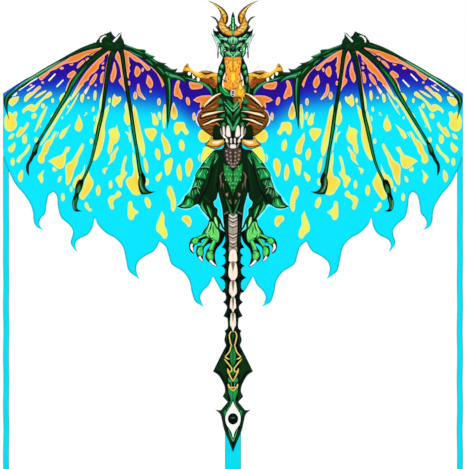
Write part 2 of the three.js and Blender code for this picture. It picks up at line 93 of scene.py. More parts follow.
# ------------------------------------------------------------------ drawing helpers
def srgb(r, g, b):
    """An everyday 0-255 colour as linear light."""
    c = np.array([r, g, b], float) / 255.0
    return np.where(c <= 0.04045, c / 12.92, ((c + 0.055) / 1.055) ** 2.4)


def ramp(t, stops):
    """Colours for the values t along stops of (value, colour)."""
    places = [s[0] for s in stops]
    return np.stack([np.interp(t, places, [s[1][i] for s in stops]) for i in range(3)], axis=-1)


def spline_point(p, i, t, closed):
    """The point at t, from 0 to 1, on the smooth line between p[i] and the next point."""
    n = len(p)
    pick = (lambda k: p[k % n]) if closed else (lambda k: p[min(max(k, 0), n - 1)])
    a, b, c, d = pick(i - 1), pick(i), pick(i + 1), pick(i + 2)
    v, w = (c - a) / 2, (d - b) / 2
    return (2 * b - 2 * c + v + w) * t**3 + (-3 * b + 3 * c - 2 * v - w) * t**2 + v * t + b


def run(points, step=3.0, closed=False):
    """A smooth line through the points, in pieces of about step."""
    p = [np.array(q[:2], float) for q in points]
    spans = len(p) if closed else len(p) - 1
    out = []
    for i in range(spans):
        count = max(1, int(round(np.linalg.norm(p[(i + 1) % len(p)] - p[i]) / step)))
        out += [spline_point(p, i, k / count, closed) for k in range(count)]
    if not closed:
        out.append(p[-1])
    return np.array(out)


def loop(points, step=3.0):
    """A closed outline. A point with a third value is a corner; the rest is smooth."""
    marks = [i for i, q in enumerate(points) if len(q) > 2]
    if not marks:
        return run(points, step, closed=True)
    turned = list(points[marks[0]:]) + list(points[:marks[0]]) + [points[marks[0]]]
    marks = [m - marks[0] for m in marks] + [len(points)]
    return np.concatenate([run(turned[a:b + 1], step)[:-1] for a, b in zip(marks, marks[1:])])


def band(points, widths, step=3.0):
    """A line as a closed shape, whose width goes evenly through the widths given."""
    line = run(points, step)
    along = np.gradient(line, axis=0)
    along /= np.maximum(np.linalg.norm(along, axis=1, keepdims=True), TINY)
    across = np.stack([-along[:, 1], along[:, 0]], axis=1)
    place = np.linspace(0, 1, len(line))
    half = np.interp(place, np.linspace(0, 1, len(widths)), widths) / 2
    return np.concatenate([line + across * half[:, None], (line - across * half[:, None])[::-1]])


def oval(d, z, wide, high, lean=0.0, corners=12):
    """An oval, leaning by degrees."""
    a = np.arange(corners) * 2 * math.pi / corners
    x, y = wide / 2 * np.cos(a), high / 2 * np.sin(a)
    r = math.radians(lean)
    return np.stack([d + x * math.cos(r) - y * math.sin(r), z + x * math.sin(r) + y * math.cos(r)], 1)


def straight(a, b, step=6.0):
    """A straight line in pieces of about step."""
    count = max(1, int(round(math.dist(a, b) / step)))
    return np.linspace(a, b, count + 1)


def fine_loop(corners, step):
    """A closed outline of straight sides, in pieces of about step."""
    return np.concatenate([straight(p, q, step)[:-1] for p, q in zip(corners, np.roll(corners, -1, 0))])


def area_of(shape):
    x, y = shape.T
    return 0.5 * float(np.sum(x * np.roll(y, -1) - np.roll(x, -1) * y))


def grown(shape, by):
    """The outline moved outwards by that much."""
    tangent = np.roll(shape, -1, 0) - np.roll(shape, 1, 0)
    tangent /= np.maximum(np.linalg.norm(tangent, axis=1, keepdims=True), TINY)
    out = np.stack([tangent[:, 1], -tangent[:, 0]], axis=1)
    return shape + out * by * (1 if area_of(shape) > 0 else -1)


def inside(shape, points):
    """Which of the points lie inside the outline."""
    result = np.zeros(len(points), bool)
    near = np.nonzero(((points >= shape.min(0)) & (points <= shape.max(0))).all(axis=1))[0]
    (x0, y0), (x1, y1) = shape.T, np.roll(shape, -1, 0).T
    for part in np.array_split(near, 1 + len(near) * len(shape) // CHUNK):
        x, y = points[part].T[:, :, None]
        side = (x1 - x0) * (y - y0) - (x - x0) * (y1 - y0)
        up = (y0 <= y) & (y1 > y) & (side > 0)
        down = (y0 > y) & (y1 <= y) & (side < 0)
        result[part] = up.sum(1) != down.sum(1)
    return result


def edge_distance(shape, points):
    """How far each point is from the outline."""
    out = [np.zeros(0)]
    ends = np.roll(shape, -1, 0) - shape
    lengths = np.maximum((ends ** 2).sum(1), TINY)
    for part in np.array_split(points, 1 + len(points) * len(shape) // CHUNK):
        away = part[:, None] - shape
        t = np.clip((away * ends).sum(2) / lengths, 0, 1)
        out.append(np.sqrt(((away - t[:, :, None] * ends) ** 2).sum(2).min(1)))
    return np.concatenate(out)


def line_reach(line, points, step=1.0):
    """How far each point is from an open line, which is followed in small steps."""
    fine = np.concatenate([straight(a, b, step)[:-1] for a, b in zip(line, line[1:])] + [line[-1:]])
    tree = KDTree(len(fine))
    for i, (x, z) in enumerate(fine):
        tree.insert((x, z, 0), i)
    tree.balance()
    return np.array([tree.find((x, z, 0))[2] for x, z in points])


# ------------------------------------------------------------------ inks
CYAN = srgb(0, 228, 252)
BLACK = srgb(0, 5, 1)
BROWN = srgb(128, 66, 14)
UMBER = srgb(60, 28, 4)
CREAM = srgb(255, 238, 218)
TAUPE = srgb(168, 148, 136)
WHITE = srgb(252, 250, 246)
ORANGE = srgb(238, 130, 34)
YELLOW = srgb(240, 242, 92)
GOLD = srgb(252, 206, 62)
PINK = srgb(249, 174, 142)
LEMON = srgb(190, 250, 176)
RIBBON_CYAN = srgb(0, 222, 242)
RIBBON_EDGE = srgb(0, 150, 164)


def dusk(points):
    """Height in the night sky of the print: its colours run lower towards the body."""
    d, z = np.abs(points[:, 0]), points[:, 1]
    return z + np.interp(d, [104, 127, 163, 228, 280, 365, 440, 500, 580, 650],
                         [72, 65, 40, 18, 12, 0, -9, -14, -9, -3])


def sky(points):
    return ramp(dusk(points), [
        (-88, CYAN), (-62, srgb(0, 220, 250)), (-46, srgb(0, 204, 246)), (-28, srgb(4, 168, 230)),
        (-12, srgb(10, 122, 212)), (6, srgb(12, 70, 196)), (22, srgb(22, 34, 180)), (38, srgb(38, 8, 158)),
        (90, srgb(38, 0, 132)),
    ])


def ember(points):
    """Middle of a spot: orange in the dark part of the sky, and lemon to gold below it."""
    d, z = np.abs(points[:, 0]), points[:, 1]
    gold = (0.5 + 0.5 * np.sin(d * 0.045 + 1.3) * np.cos(z * 0.037 + d * 0.011))[:, None]
    low = YELLOW * (1 - 0.8 * gold) + GOLD * 0.8 * gold
    warm = dusk(points) + 24 * np.clip((310 - d) / 80, 0, 1)
    high = ramp(warm, [(-16, srgb(248, 222, 84)), (14, ORANGE)])
    share = np.clip((dusk(points)[:, None] + 66) / 36, 0, 1)
    return low * (1 - share) + high * share


def glow(points):
    """Rim of a spot."""
    return ramp(dusk(points), [(-24, LEMON), (-2, srgb(232, 226, 186)), (20, PINK)])


def plain(colour):
    """The same colour everywhere."""
    return lambda points: np.tile(colour, (len(points), 1))


inks = []


def ink(shape, middle, rim=None, soft=3.0, line=0.0, edge=BLACK, core=None):
    """Prints a shape. rim shades into middle over soft, line is an outline's width, and core is points
    inside the shape for the shading to follow."""
    middle = middle if callable(middle) else plain(middle)
    rim = middle if rim is None else rim if callable(rim) else plain(rim)
    if line:
        inks.append((grown(shape, line), plain(edge), plain(edge), 1.0, None))
    if core is None and middle is not rim:
        core = grown(shape, -soft)
        core = core[inside(shape, core)]
        core = core[edge_distance(shape, core) > 0.7 * soft][::2] if len(core) else core
    inks.append((shape, middle, rim, soft, core))


def brush(points, widths, middle, rim=None, soft=3.0, **more):
    """Prints a line whose width goes evenly through the widths given."""
    ink(band(points, widths), middle, rim, soft=soft, core=run(points, 3.0)[1:-1], **more)


def halo(points):
    """The deeper shade of the sky just round a spot."""
    return ramp(dusk(points), [(-60, srgb(0, 196, 206)), (-24, srgb(0, 90, 160)), (10, srgb(26, 0, 78))])


def spot(*points, lean=0.0):
    """A glowing spot: an outline, or an oval as (d, z, wide, high)."""
    if len(points) == 4 and not hasattr(points[0], "__len__"):
        shape = oval(*points, lean=lean)
    else:
        shape = loop(points)
    inks.append((grown(shape, 3.6), halo, sky, 3.2, None))
    ink(grown(shape, 0.7), ember, glow, soft=6.5)


def streak(*points, wide=8.0):
    """A long spot along a line."""
    spread = [wide * 0.4, wide, wide, wide * 0.35]
    inks.append((band(points, [w + 5 for w in spread]), halo, sky, 3.0, None))
    brush(points, spread, ember, glow, soft=5.6)


# ------------------------------------------------------------------ the print: wings
def wing_spots():
    # Pieces of ember in the dark of the sky
    for d, z, wide, high, lean in [
        (437, 100, 11, 9, 0), (485, 86, 11, 9, 0), (514, 73, 12, 7, 0), (391, 89, 8, 10, 15),
        (390, 74, 7, 8, 0), (271, 68, 6, 12, 18), (247, 3, 6, 6, 0), (412, 22, 5, 7, 0),
        (434, -16, 7, 7, 0), (571, 30, 7, 6, 0), (606, 22, 8, 5, 0), (312, 28, 7, 13, 0),
        (135, -26, 11, 25, -12), (117, -72, 9, 24, 0), (222, -28, 10, 22, 0), (570, -40, 11, 15, 0),
        (541, -24, 8, 14, 0), (597, -70, 14, 18, 30), (578, -101, 4, 7, 0), (512, -76, 6, 8, 0),
        (494, -42, 5, 9, 30), (419, -50, 7, 15, 10), (441, -65, 6, 12, 10), (444, -68, 4, 4, 0),
        (620, -128, 6, 9, 0), (625, -140, 15, 28, 0), (661, -208, 12, 24, 0), (590, -142, 12, 16, 0),
        (535, -230, 13, 15, 0), (520, -260, 9, 21, 20), (485, -290, 8, 17, 0), (510, -314, 11, 24, 0),
        (367, -276, 11, 25, 0), (404, -294, 14, 32, 0), (258, -268, 11, 22, 0), (425, -146, 10, 16, 0),
        (415, -78, 6, 16, 10), (98, -196, 13, 24, 0),
    ]:
        spot(d, z, wide, high, lean=lean)
    for line, wide in [
        ([(468, 73), (458, 85), (444, 97)], 9), ([(560, 6), (596, -16)], 8),
        ([(395, 28), (392, 46), (388, 62)], 12), ([(409, 56), (418, 40), (430, 22)], 12),
        ([(431, 20), (446, -4), (460, -26)], 9), ([(413, 6), (415, -24)], 10),
        ([(284, 26), (283, 4), (275, -10), (263, -21)], 11), ([(293, 2), (293, -21)], 12),
        ([(370, -16), (371, -32)], 9), ([(462, -2), (480, -34), (500, -66)], 6),
        ([(558, -42), (572, -70), (583, -94), (594, -117)], 11), ([(524, -118), (541, -142)], 9),
        ([(534, -60), (546, -76)], 7), ([(322, -118), (311, -128), (308, -150)], 8),
        ([(266, -196), (262, -212), (257, -241)], 12), ([(222, -58), (218, -82)], 11),
        ([(204, -36), (206, -70), (207, -108)], 12), ([(548, 66), (532, 72)], 6),
    ]:
        streak(*line, wide=wide)
    for line, widths in [
        ([(584, 45), (610, 29), (642, 6)], [4, 4, 3]), ([(648, 0), (655, -8), (663, -14)], [3, 6, 5]),
        ([(533, 56), (553, 35)], [4, 5]), ([(509, 38), (529, 17)], [4, 5]), ([(595, 21), (618, 5)], [3, 4]),
        ([(438, 12), (445, -4)], [3, 5])]:
        brush(line, widths, WHITE)
    for outline in WING_SPOTS:
        spot(*outline)
    # Light along the bones
    for line, widths in BONE_LIGHT:
        brush(line, widths, ember, glow, soft=3.4)


WING_SPOTS = [
    # Along the leading edge, and between the fingers, down from the wrist
    [(372, 140, 1), (396, 135), (420, 131), (450, 124), (480, 112), (500, 98), (520, 87), (545, 72),
     (562, 60), (584, 46, 1), (576, 37), (568, 43), (556, 54), (546, 65), (532, 70), (520, 78), (505, 86),
     (490, 89), (470, 93), (455, 101), (446, 107), (438, 112), (424, 112), (412, 122), (394, 132)],
    [(360, 134, 1), (376, 126), (400, 104), (430, 74), (452, 45), (468, 18), (484, -12), (486, -24, 1),
     (468, -2), (456, 16), (450, 21, 1), (447, 30), (440, 35), (434, 38, 1), (431, 47), (424, 55),
     (417, 59, 1), (410, 66), (404, 73, 1), (402, 83), (396, 90, 1), (390, 95), (386, 102, 1), (385, 110),
     (374, 119, 1), (373, 108), (379, 82), (383, 58), (387, 30), (392, 4), (399, -22), (402, -56),
     (412, -104), (416, -124, 1), (406, -100), (398, -60), (391, -20), (384, 12), (376, 66), (366, 106)],
    [(346, 124, 1), (353, 106), (346, 92), (340, 78), (337, 62), (335, 46), (342, 37), (338, 26), (330, 17),
     (323, 4, 1), (328, 30), (330, 60), (335, 92), (340, 112)],
    [(356, 92, 1), (352, 78), (350, 64), (352, 48), (357, 36), (362, 30), (367, 38), (366, 52), (361, 68),
     (359, 82)],
    [(331, 133, 1), (310, 120), (285, 104), (262, 86), (248, 73), (256, 66), (264, 74), (272, 84),
     (280, 91, 1), (290, 93), (300, 99), (308, 107), (313, 108, 1), (312, 92), (308, 82, 1), (312, 74),
     (309, 64, 1), (313, 56), (314, 42, 1), (321, 62), (325, 92), (328, 116)],
    [(248, 78, 1), (236, 66), (226, 54), (216, 32), (212, 16, 1), (206, 28), (214, 50), (228, 68)],
    [(289, 79), (280, 71), (278, 60), (284, 50), (290, 47), (295, 58), (293, 72)],
    [(256, 53, 1), (248, 45), (241, 31), (242, 19), (248, 13), (256, 22), (260, 31), (258, 42)],
    [(478, 65), (471, 58), (479, 50), (490, 44), (497, 48), (494, 55), (486, 61)],
    [(356, -5, 1), (350, -12), (343, -14), (337, -12), (336, -21), (342, -31), (350, -37), (356, -43),
     (363, -36), (362, -24), (360, -12)],
    [(580, 20), (576, 14), (586, 6), (598, -6), (610, -16), (622, -28), (627, -22), (622, -10), (610, 0),
     (602, 2), (592, 12)],
    [(550, 3), (543, -6), (556, -16), (566, -20), (579, -34), (584, -44), (595, -57), (604, -57),
     (612, -52, 1), (622, -55), (628, -63, 1), (632, -55), (625, -46), (612, -37), (602, -35),
     (596, -40, 1), (588, -32), (578, -22), (566, -11)],
    [(682, -70), (672, -58), (662, -66, 1), (654, -57), (647, -62), (651, -80), (648, -96), (656, -111),
     (672, -117), (684, -106), (686, -86)],
    [(642, -12, 1), (645, -24), (655, -36), (664, -41), (673, -31), (668, -20), (658, -14)],
    [(617, -89), (612, -96), (622, -112), (632, -124), (644, -134), (651, -128), (644, -114), (638, -103),
     (631, -108, 1), (624, -100)],
    [(503, -1), (513, -5), (521, -18), (518, -28), (528, -45, 1), (518, -38), (507, -22), (500, -10)],
    [(447, -3, 1), (456, -8), (458, -24), (452, -30), (447, -14)],
    [(463, -66, 1), (456, -80), (451, -98), (456, -113), (463, -117), (474, -109), (472, -92), (466, -80)],
    [(487, -95, 1), (493, -106), (498, -114), (504, -127), (514, -139), (521, -133), (513, -116),
     (500, -106)],
    # Beside the second and third fingers
    [(320, -26, 1), (325, -42), (323, -56), (327, -72), (324, -88), (316, -99), (309, -92), (311, -70),
     (315, -44)],
    [(299, -36, 1), (290, -52), (284, -80), (277, -110), (267, -148), (264, -176), (270, -192), (277, -181),
     (284, -160), (290, -130), (296, -100), (301, -60)],
    [(371, -36, 1), (375, -58), (383, -88), (385, -108), (384, -126), (388, -150), (396, -177), (412, -203),
     (421, -197), (412, -170), (404, -130), (398, -100), (392, -70), (382, -48)],
    [(402, -52, 1), (408, -70), (413, -92), (417, -108), (415, -123), (407, -116), (404, -96), (400, -70)],
    [(348, -97, 1), (352, -105), (364, -108), (373, -116), (370, -130), (372, -150), (376, -176),
     (369, -186), (363, -176), (358, -158), (346, -147), (340, -128), (345, -112)],
    [(346, -161, 1), (344, -170), (352, -184), (353, -194), (360, -206), (376, -218, 1), (368, -202),
     (368, -188), (362, -182), (354, -172)],
    [(300, -178, 1), (301, -205), (298, -230), (302, -250), (312, -254), (321, -264), (318, -278),
     (307, -296), (300, -305), (286, -308), (277, -300), (280, -270), (285, -240), (290, -213),
     (294, -190)],
    [(436, -226, 1), (430, -246), (421, -262), (419, -275), (426, -291), (438, -309), (450, -322),
     (461, -311), (453, -290), (446, -270), (441, -250)],
    [(444, -216, 1), (449, -230), (457, -244), (467, -250), (477, -264), (481, -282), (476, -287),
     (468, -278), (460, -270), (452, -256), (446, -238)],
    # The lower sail, from the wing tip to the body
    [(528, -118, 1), (536, -118), (546, -136), (554, -142), (562, -148), (569, -160), (575, -178),
     (583, -190), (585, -204), (576, -213), (566, -207), (565, -191), (556, -180), (551, -164), (543, -152),
     (535, -134)],
    [(554, -207, 1), (540, -197), (522, -190), (512, -185), (505, -173), (499, -163), (488, -165, 1),
     (493, -176), (501, -186), (502, -204), (507, -222), (520, -229), (532, -223), (544, -212)],
    [(452, -153), (447, -160), (455, -180), (463, -196), (467, -214), (475, -230), (483, -258), (494, -277),
     (501, -272), (501, -250), (503, -228), (497, -213), (484, -205), (473, -188), (462, -170)],
    [(612, -155), (609, -166), (619, -182), (633, -196), (642, -211), (649, -205), (643, -192), (631, -183),
     (622, -171)],
    [(655, -149), (664, -157), (675, -168), (669, -179), (660, -177), (653, -162)],
    [(657, -123), (668, -127), (674, -139), (662, -137)],
    [(567, -233), (575, -240), (585, -252), (580, -263), (574, -273), (569, -262), (571, -248)],
    [(631, -233), (640, -240), (645, -256), (638, -269), (631, -258)],
    [(442, -329), (435, -334), (431, -346), (423, -350), (428, -357), (438, -350), (445, -340)],
    [(375, -225), (381, -234), (384, -245), (391, -237), (389, -229)],
    [(318, -193), (324, -191), (329, -204), (335, -230), (337, -246), (347, -252), (353, -261), (346, -273),
     (340, -285), (333, -283), (330, -264), (322, -251), (317, -240), (324, -238, 1), (325, -222)],
    [(345, -295), (335, -302), (339, -312), (352, -319), (360, -330), (357, -346), (364, -351), (371, -338),
     (375, -322), (367, -311), (354, -307)],
    [(313, -329), (304, -327), (300, -344), (292, -352), (283, -360), (294, -368), (300, -381), (309, -381),
     (315, -370), (315, -348)],
    [(264, -317), (256, -315), (247, -328), (247, -342), (254, -347), (263, -332)],
    [(195, -284), (186, -281), (179, -296), (173, -316), (171, -340), (178, -357), (185, -350), (187, -326),
     (197, -304)],
    [(214, -356, 1), (206, -372), (206, -396), (199, -412), (197, -430), (206, -439), (218, -425),
     (229, -414), (229, -396), (221, -376)],
    [(149, -371), (132, -371), (125, -384), (127, -398), (134, -403), (142, -392), (153, -382)],
    [(158, -141), (150, -145), (145, -160), (149, -175), (158, -171), (162, -154)],
    [(160, -214), (155, -232), (153, -248), (156, -264), (164, -259), (169, -240), (167, -225)],
    [(139, -205), (129, -197), (122, -206), (121, -222), (127, -240), (132, -252), (139, -247),
     (143, -222)],
    [(172, -91), (158, -89), (146, -91), (142, -104), (133, -120), (142, -127), (150, -117), (158, -115),
     (164, -125), (172, -125), (177, -108)],
    [(257, -108, 1), (240, -107), (231, -112), (229, -121), (235, -134), (243, -146), (253, -138),
     (263, -122), (265, -110, 1)],
    [(230, -168), (221, -174), (218, -190), (222, -203), (229, -197), (234, -182)],
    [(213, -121), (205, -134), (197, -142), (189, -160), (187, -177), (196, -185), (205, -181), (209, -160),
     (215, -140)],
    [(216, -238), (222, -244), (231, -252), (231, -262), (224, -267), (217, -256), (213, -244)],
    [(190, -197), (181, -200), (183, -222), (189, -242), (198, -249), (203, -238), (205, -210),
     (198, -202)],
    [(245, -59, 1), (241, -80), (241, -92), (234, -99), (225, -96), (224, -84), (230, -72), (236, -61, 1),
     (240, -66)],
    [(184, -77), (187, -60), (183, -42), (178, -29, 1), (172, -44), (167, -58), (167, -72), (174, -81)],
    # Beside the body
    [(160, 34), (168, 34), (175, 15), (176, -8), (165, -13), (157, -20), (152, -14), (158, 5), (163, 18)],
    [(131, 31), (127, 13), (117, 10), (95, 13), (91, 20), (96, 26), (115, 29)],
    [(119, -23, 1), (108, -15), (90, -10), (64, -10), (60, -16), (75, -28), (88, -38), (94, -49), (99, -43),
     (97, -30), (106, -29)],
    [(85, -164), (64, -166), (58, -176), (76, -196), (93, -212), (97, -196), (92, -180)],
    [(101, -118), (92, -112), (68, -112), (60, -130), (74, -146), (94, -149), (104, -134)],
]
BONE_LIGHT = [
    ([(466, 58), (480, 44), (492, 24), (501, 3)], [3, 9, 9, 3]),
    ([(486, -14), (512, -50), (540, -98), (566, -142), (578, -158)], [7, 8, 8, 9, 3]),
    ([(586, -158), (596, -186), (606, -206)], [3, 5, 2]),
    ([(312, -104), (304, -140), (298, -176)], [3, 3, 2]),
]


def wing_bones():
    # Three fingers from the wrist: dark edges, a green body and a lit core
    leafy, dark = srgb(16, 140, 60), srgb(0, 48, 10)
    fingers = [
        ([(372, 138), (408, 110), (440, 82), (457, 60), (480, 30), (496, -3), (520, -44), (545, -86),
          (570, -126), (584, -150)], [18, 19, 17, 17, 16, 14, 12, 11, 9, 9], 0.34),
        ([(352, 136), (366, 106), (376, 60), (384, 0), (392, -60), (403, -108), (412, -150), (424, -200),
          (438, -238), (456, -272)], [18, 14, 13, 12, 11, 12, 12, 10, 8, 9], 0.42),
        ([(338, 138), (331, 104), (325, 60), (316, 0), (306, -60), (298, -116), (288, -176), (280, -230),
          (272, -262)], [16, 13, 12, 12, 12, 12, 10, 11, 16], 0.46),
    ]
    for line, widths, lit in fingers:
        brush(line, widths, BLACK)
        brush(line, [w - 4 for w in widths], dark, srgb(0, 22, 4), soft=2.5)
        start = int(len(line) * lit)
        core = [w * 0.42 for w in widths[start:]]
        brush(line[start:], [1.5] + core[1:], leafy, srgb(2, 84, 26), soft=1.8)
    brush([(438, 82), (452, 66), (470, 44), (486, 18)], [1, 6, 8, 7], leafy, srgb(2, 84, 26), soft=2.5)
    claw = srgb(12, 74, 40)
    ink(loop([(578, -146, 1), (590, -150), (600, -168), (604, -182), (612, -200), (620, -216), (620, -236),
              (612, -251, 1), (612, -234), (611, -218), (602, -204), (596, -192), (588, -184),
              (584, -166)]), srgb(2, 26, 14), BLACK, soft=2.5)
    ink(loop([(584, -156, 1), (592, -156), (599, -170), (597, -180), (590, -172)]), srgb(20, 120, 56), dark,
        soft=2.5)
    ink(loop([(448, -262, 1), (462, -262), (472, -280), (475, -302), (482, -326), (481, -344), (472, -357),
              (452, -356, 1), (466, -350), (468, -336), (463, -318), (462, -306), (454, -292),
              (449, -276)]), BLACK)
    ink(loop([(458, -272, 1), (468, -284), (470, -300), (462, -302), (456, -288)]), srgb(28, 124, 56), dark,
        soft=3)
    ink(loop([(468, -310, 1), (477, -328), (477, -342), (470, -351), (472, -336), (467, -322)]),
        srgb(34, 116, 66), claw, soft=2)
    ink(loop([(272, -236, 1), (264, -250), (261, -266), (264, -280), (256, -292), (246, -297),
              (231, -296, 1), (246, -303), (262, -306), (276, -304), (283, -286), (284, -262)]), BLACK)
    ink(loop([(278, -244, 1), (272, -262), (270, -280), (260, -296), (246, -300, 1), (264, -302),
              (274, -298), (280, -280), (281, -260)]), srgb(28, 116, 58), dark, soft=2.5)
    lines(srgb(120, 176, 140),
          [([(279, -262), (276, -282), (266, -298)], [1, 2, 1]),
           ([(478, -322), (479, -340), (472, -352)], [1, 2, 1])])


def wing_arms():
    # Upper arm from the wrist to the shoulder, with its spurs
    dark = srgb(0, 44, 8)
    ink(loop([(330, 158, 1), (326, 148), (300, 137), (285, 132), (262, 128), (258, 134, 1), (260, 122),
              (242, 116), (228, 107, 1), (236, 103), (214, 92), (196, 89, 1), (202, 84), (188, 73),
              (170, 73), (162, 75, 1), (170, 63), (151, 62), (140, 66), (120, 56), (100, 45), (80, 34),
              (62, 20), (58, 0), (63, -16, 1), (67, -3), (74, 12), (90, 24), (112, 30), (134, 36),
              (146, 28, 1), (152, 38), (172, 40), (182, 36), (182, 0), (184, -40), (190, -75),
              (197, -112, 1), (200, -60), (201, -10), (204, 14), (212, 38), (228, 60), (246, 78),
              (270, 100), (300, 118), (336, 134)]), dark, BLACK, soft=5)
    leaf = srgb(22, 140, 74)
    for line, widths in [
        ([(324, 140), (300, 134), (278, 130), (261, 127)], [2, 5, 8, 3]),
        ([(312, 126), (296, 117), (272, 106)], [2, 5, 3]),
        ([(300, 131), (286, 124), (268, 116)], [1, 4, 2]),
        ([(264, 119), (250, 113), (235, 108)], [5, 13, 4]), ([(262, 99), (250, 92), (240, 81)], [2, 6, 2]),
        ([(240, 103), (222, 95), (204, 88)], [3, 8, 5]), ([(228, 78), (216, 68), (206, 54)], [2, 6, 2]),
        ([(252, 104), (238, 96), (226, 86)], [1, 5, 2]), ([(205, 76), (190, 70), (176, 69)], [2, 4, 3]),
        ([(204, 62), (188, 52), (170, 48), (152, 40), (143, 30)], [5, 13, 12, 8, 1]),
        ([(150, 48), (126, 40), (104, 33), (84, 23), (68, 8), (62, -9)], [3, 7, 6, 9, 9, 3]),
        ([(192, 44), (190, 12), (190, -26), (193, -60), (196, -96)], [11, 6, 4, 3, 1]),
    ]:
        brush(line, widths, leaf, srgb(4, 74, 30), soft=2.0)
        brush(line, [w * 0.26 for w in widths], srgb(120, 200, 150), leaf, soft=1.2)
    lines(BLACK,
          [([(196, 60), (190, 44), (186, 20)], [1, 3, 2]), ([(180, 56), (160, 50), (140, 52)], [1, 3, 2]),
           ([(160, 44), (140, 46), (118, 40)], [1, 2.5, 1])])
    # Outer arm from the wrist to the tip
    ink(loop([(352, 160, 1), (384, 168), (413, 152), (450, 138), (480, 123), (510, 106), (540, 89),
              (570, 72), (600, 52), (622, 38), (640, 22), (664, 6), (682, -8), (689, -24), (684, -48),
              (671, -84, 1), (676, -52), (673, -26), (664, -14, 1), (656, 0), (630, 16), (600, 38),
              (570, 57), (540, 77), (510, 95), (480, 110), (440, 125), (400, 134), (372, 140, 1),
              (352, 128)]), dark, BLACK, soft=3.5)
    brush([(500, 102), (530, 86), (560, 69), (600, 44), (630, 26), (660, 4), (678, -14), (682, -38),
           (676, -70)], [1, 5, 8, 8, 6, 5, 6, 3, 1], srgb(44, 160, 92), srgb(2, 84, 34), soft=2.6)
    brush([(520, 94), (560, 71), (600, 47), (630, 29), (656, 9)], [0.8, 2, 2.4, 2, 0.8],
        srgb(120, 206, 146))
    lines(BLACK,
          [([(600, 56), (592, 50), (588, 42)], [1, 1.5, 1]),
           ([(646, 20), (640, 14), (636, 8)], [1, 1.5, 1])])
    # The wrist: a knuckle of scales with pale claws
    ink(loop([(413, 148, 1), (408, 160), (396, 172), (380, 178), (364, 184, 1), (362, 172), (352, 164),
              (344, 174), (334, 180, 1), (331, 164), (326, 146, 1), (336, 128), (368, 124), (394, 134)]),
        srgb(0, 46, 8), BLACK, soft=6)
    for line, widths in [
        ([(359, 152), (350, 162), (342, 171), (334, 180)], [5, 6, 4, 1]),
        ([(397, 150), (396, 160), (388, 168), (380, 170)], [3, 6, 4, 2]),
        ([(413, 150), (410, 157), (404, 162)], [3, 4, 2]),
        ([(394, 172), (382, 178), (368, 183)], [2, 3, 1]),
    ]:
        brush(line, widths, WHITE, line=1.6)
    lines(srgb(6, 96, 34),
          [([(384, 150), (372, 146), (362, 140)], [1, 4, 1]),
           ([(352, 148), (346, 140), (342, 130)], [1, 4, 1]),
           ([(400, 146), (420, 140), (448, 131)], [1, 4, 1]),
           ([(430, 143), (462, 129), (492, 112)], [1, 3, 1]),
           ([(404, 128), (430, 112), (448, 94)], [1, 3, 1]),
           ([(388, 160), (378, 166), (366, 170)], [1, 3, 1]),
           ([(372, 130), (364, 122), (358, 108)], [1, 3, 1])], rim=dark)


# ------------------------------------------------------------------ the print: body
LEAF = srgb(24, 150, 66)
SHADE = srgb(3, 46, 14)


def scale(points, middle=LEAF, rim=SHADE, soft=3.0, line=0.0):
    """One scale, lit in the middle."""
    ink(loop(points, 2.5), middle, rim, soft=soft, line=line)


def lines(colour, rows, rim=None, line=0.0, edge=BLACK):
    """Brush lines, each a list of points and the widths along it."""
    for points, widths in rows:
        brush(points, widths, colour, rim, soft=1.6, line=line, edge=edge)


def plate(points, shine, stripes, middle=srgb(20, 150, 74), rim=srgb(0, 72, 24)):
    """A scale of the thigh, with a shine and dark stripes from its top edge."""
    scale(points, middle=middle, rim=rim, soft=5)
    lines(srgb(96, 230, 132), shine, rim=middle)
    lines(BLACK, stripes)


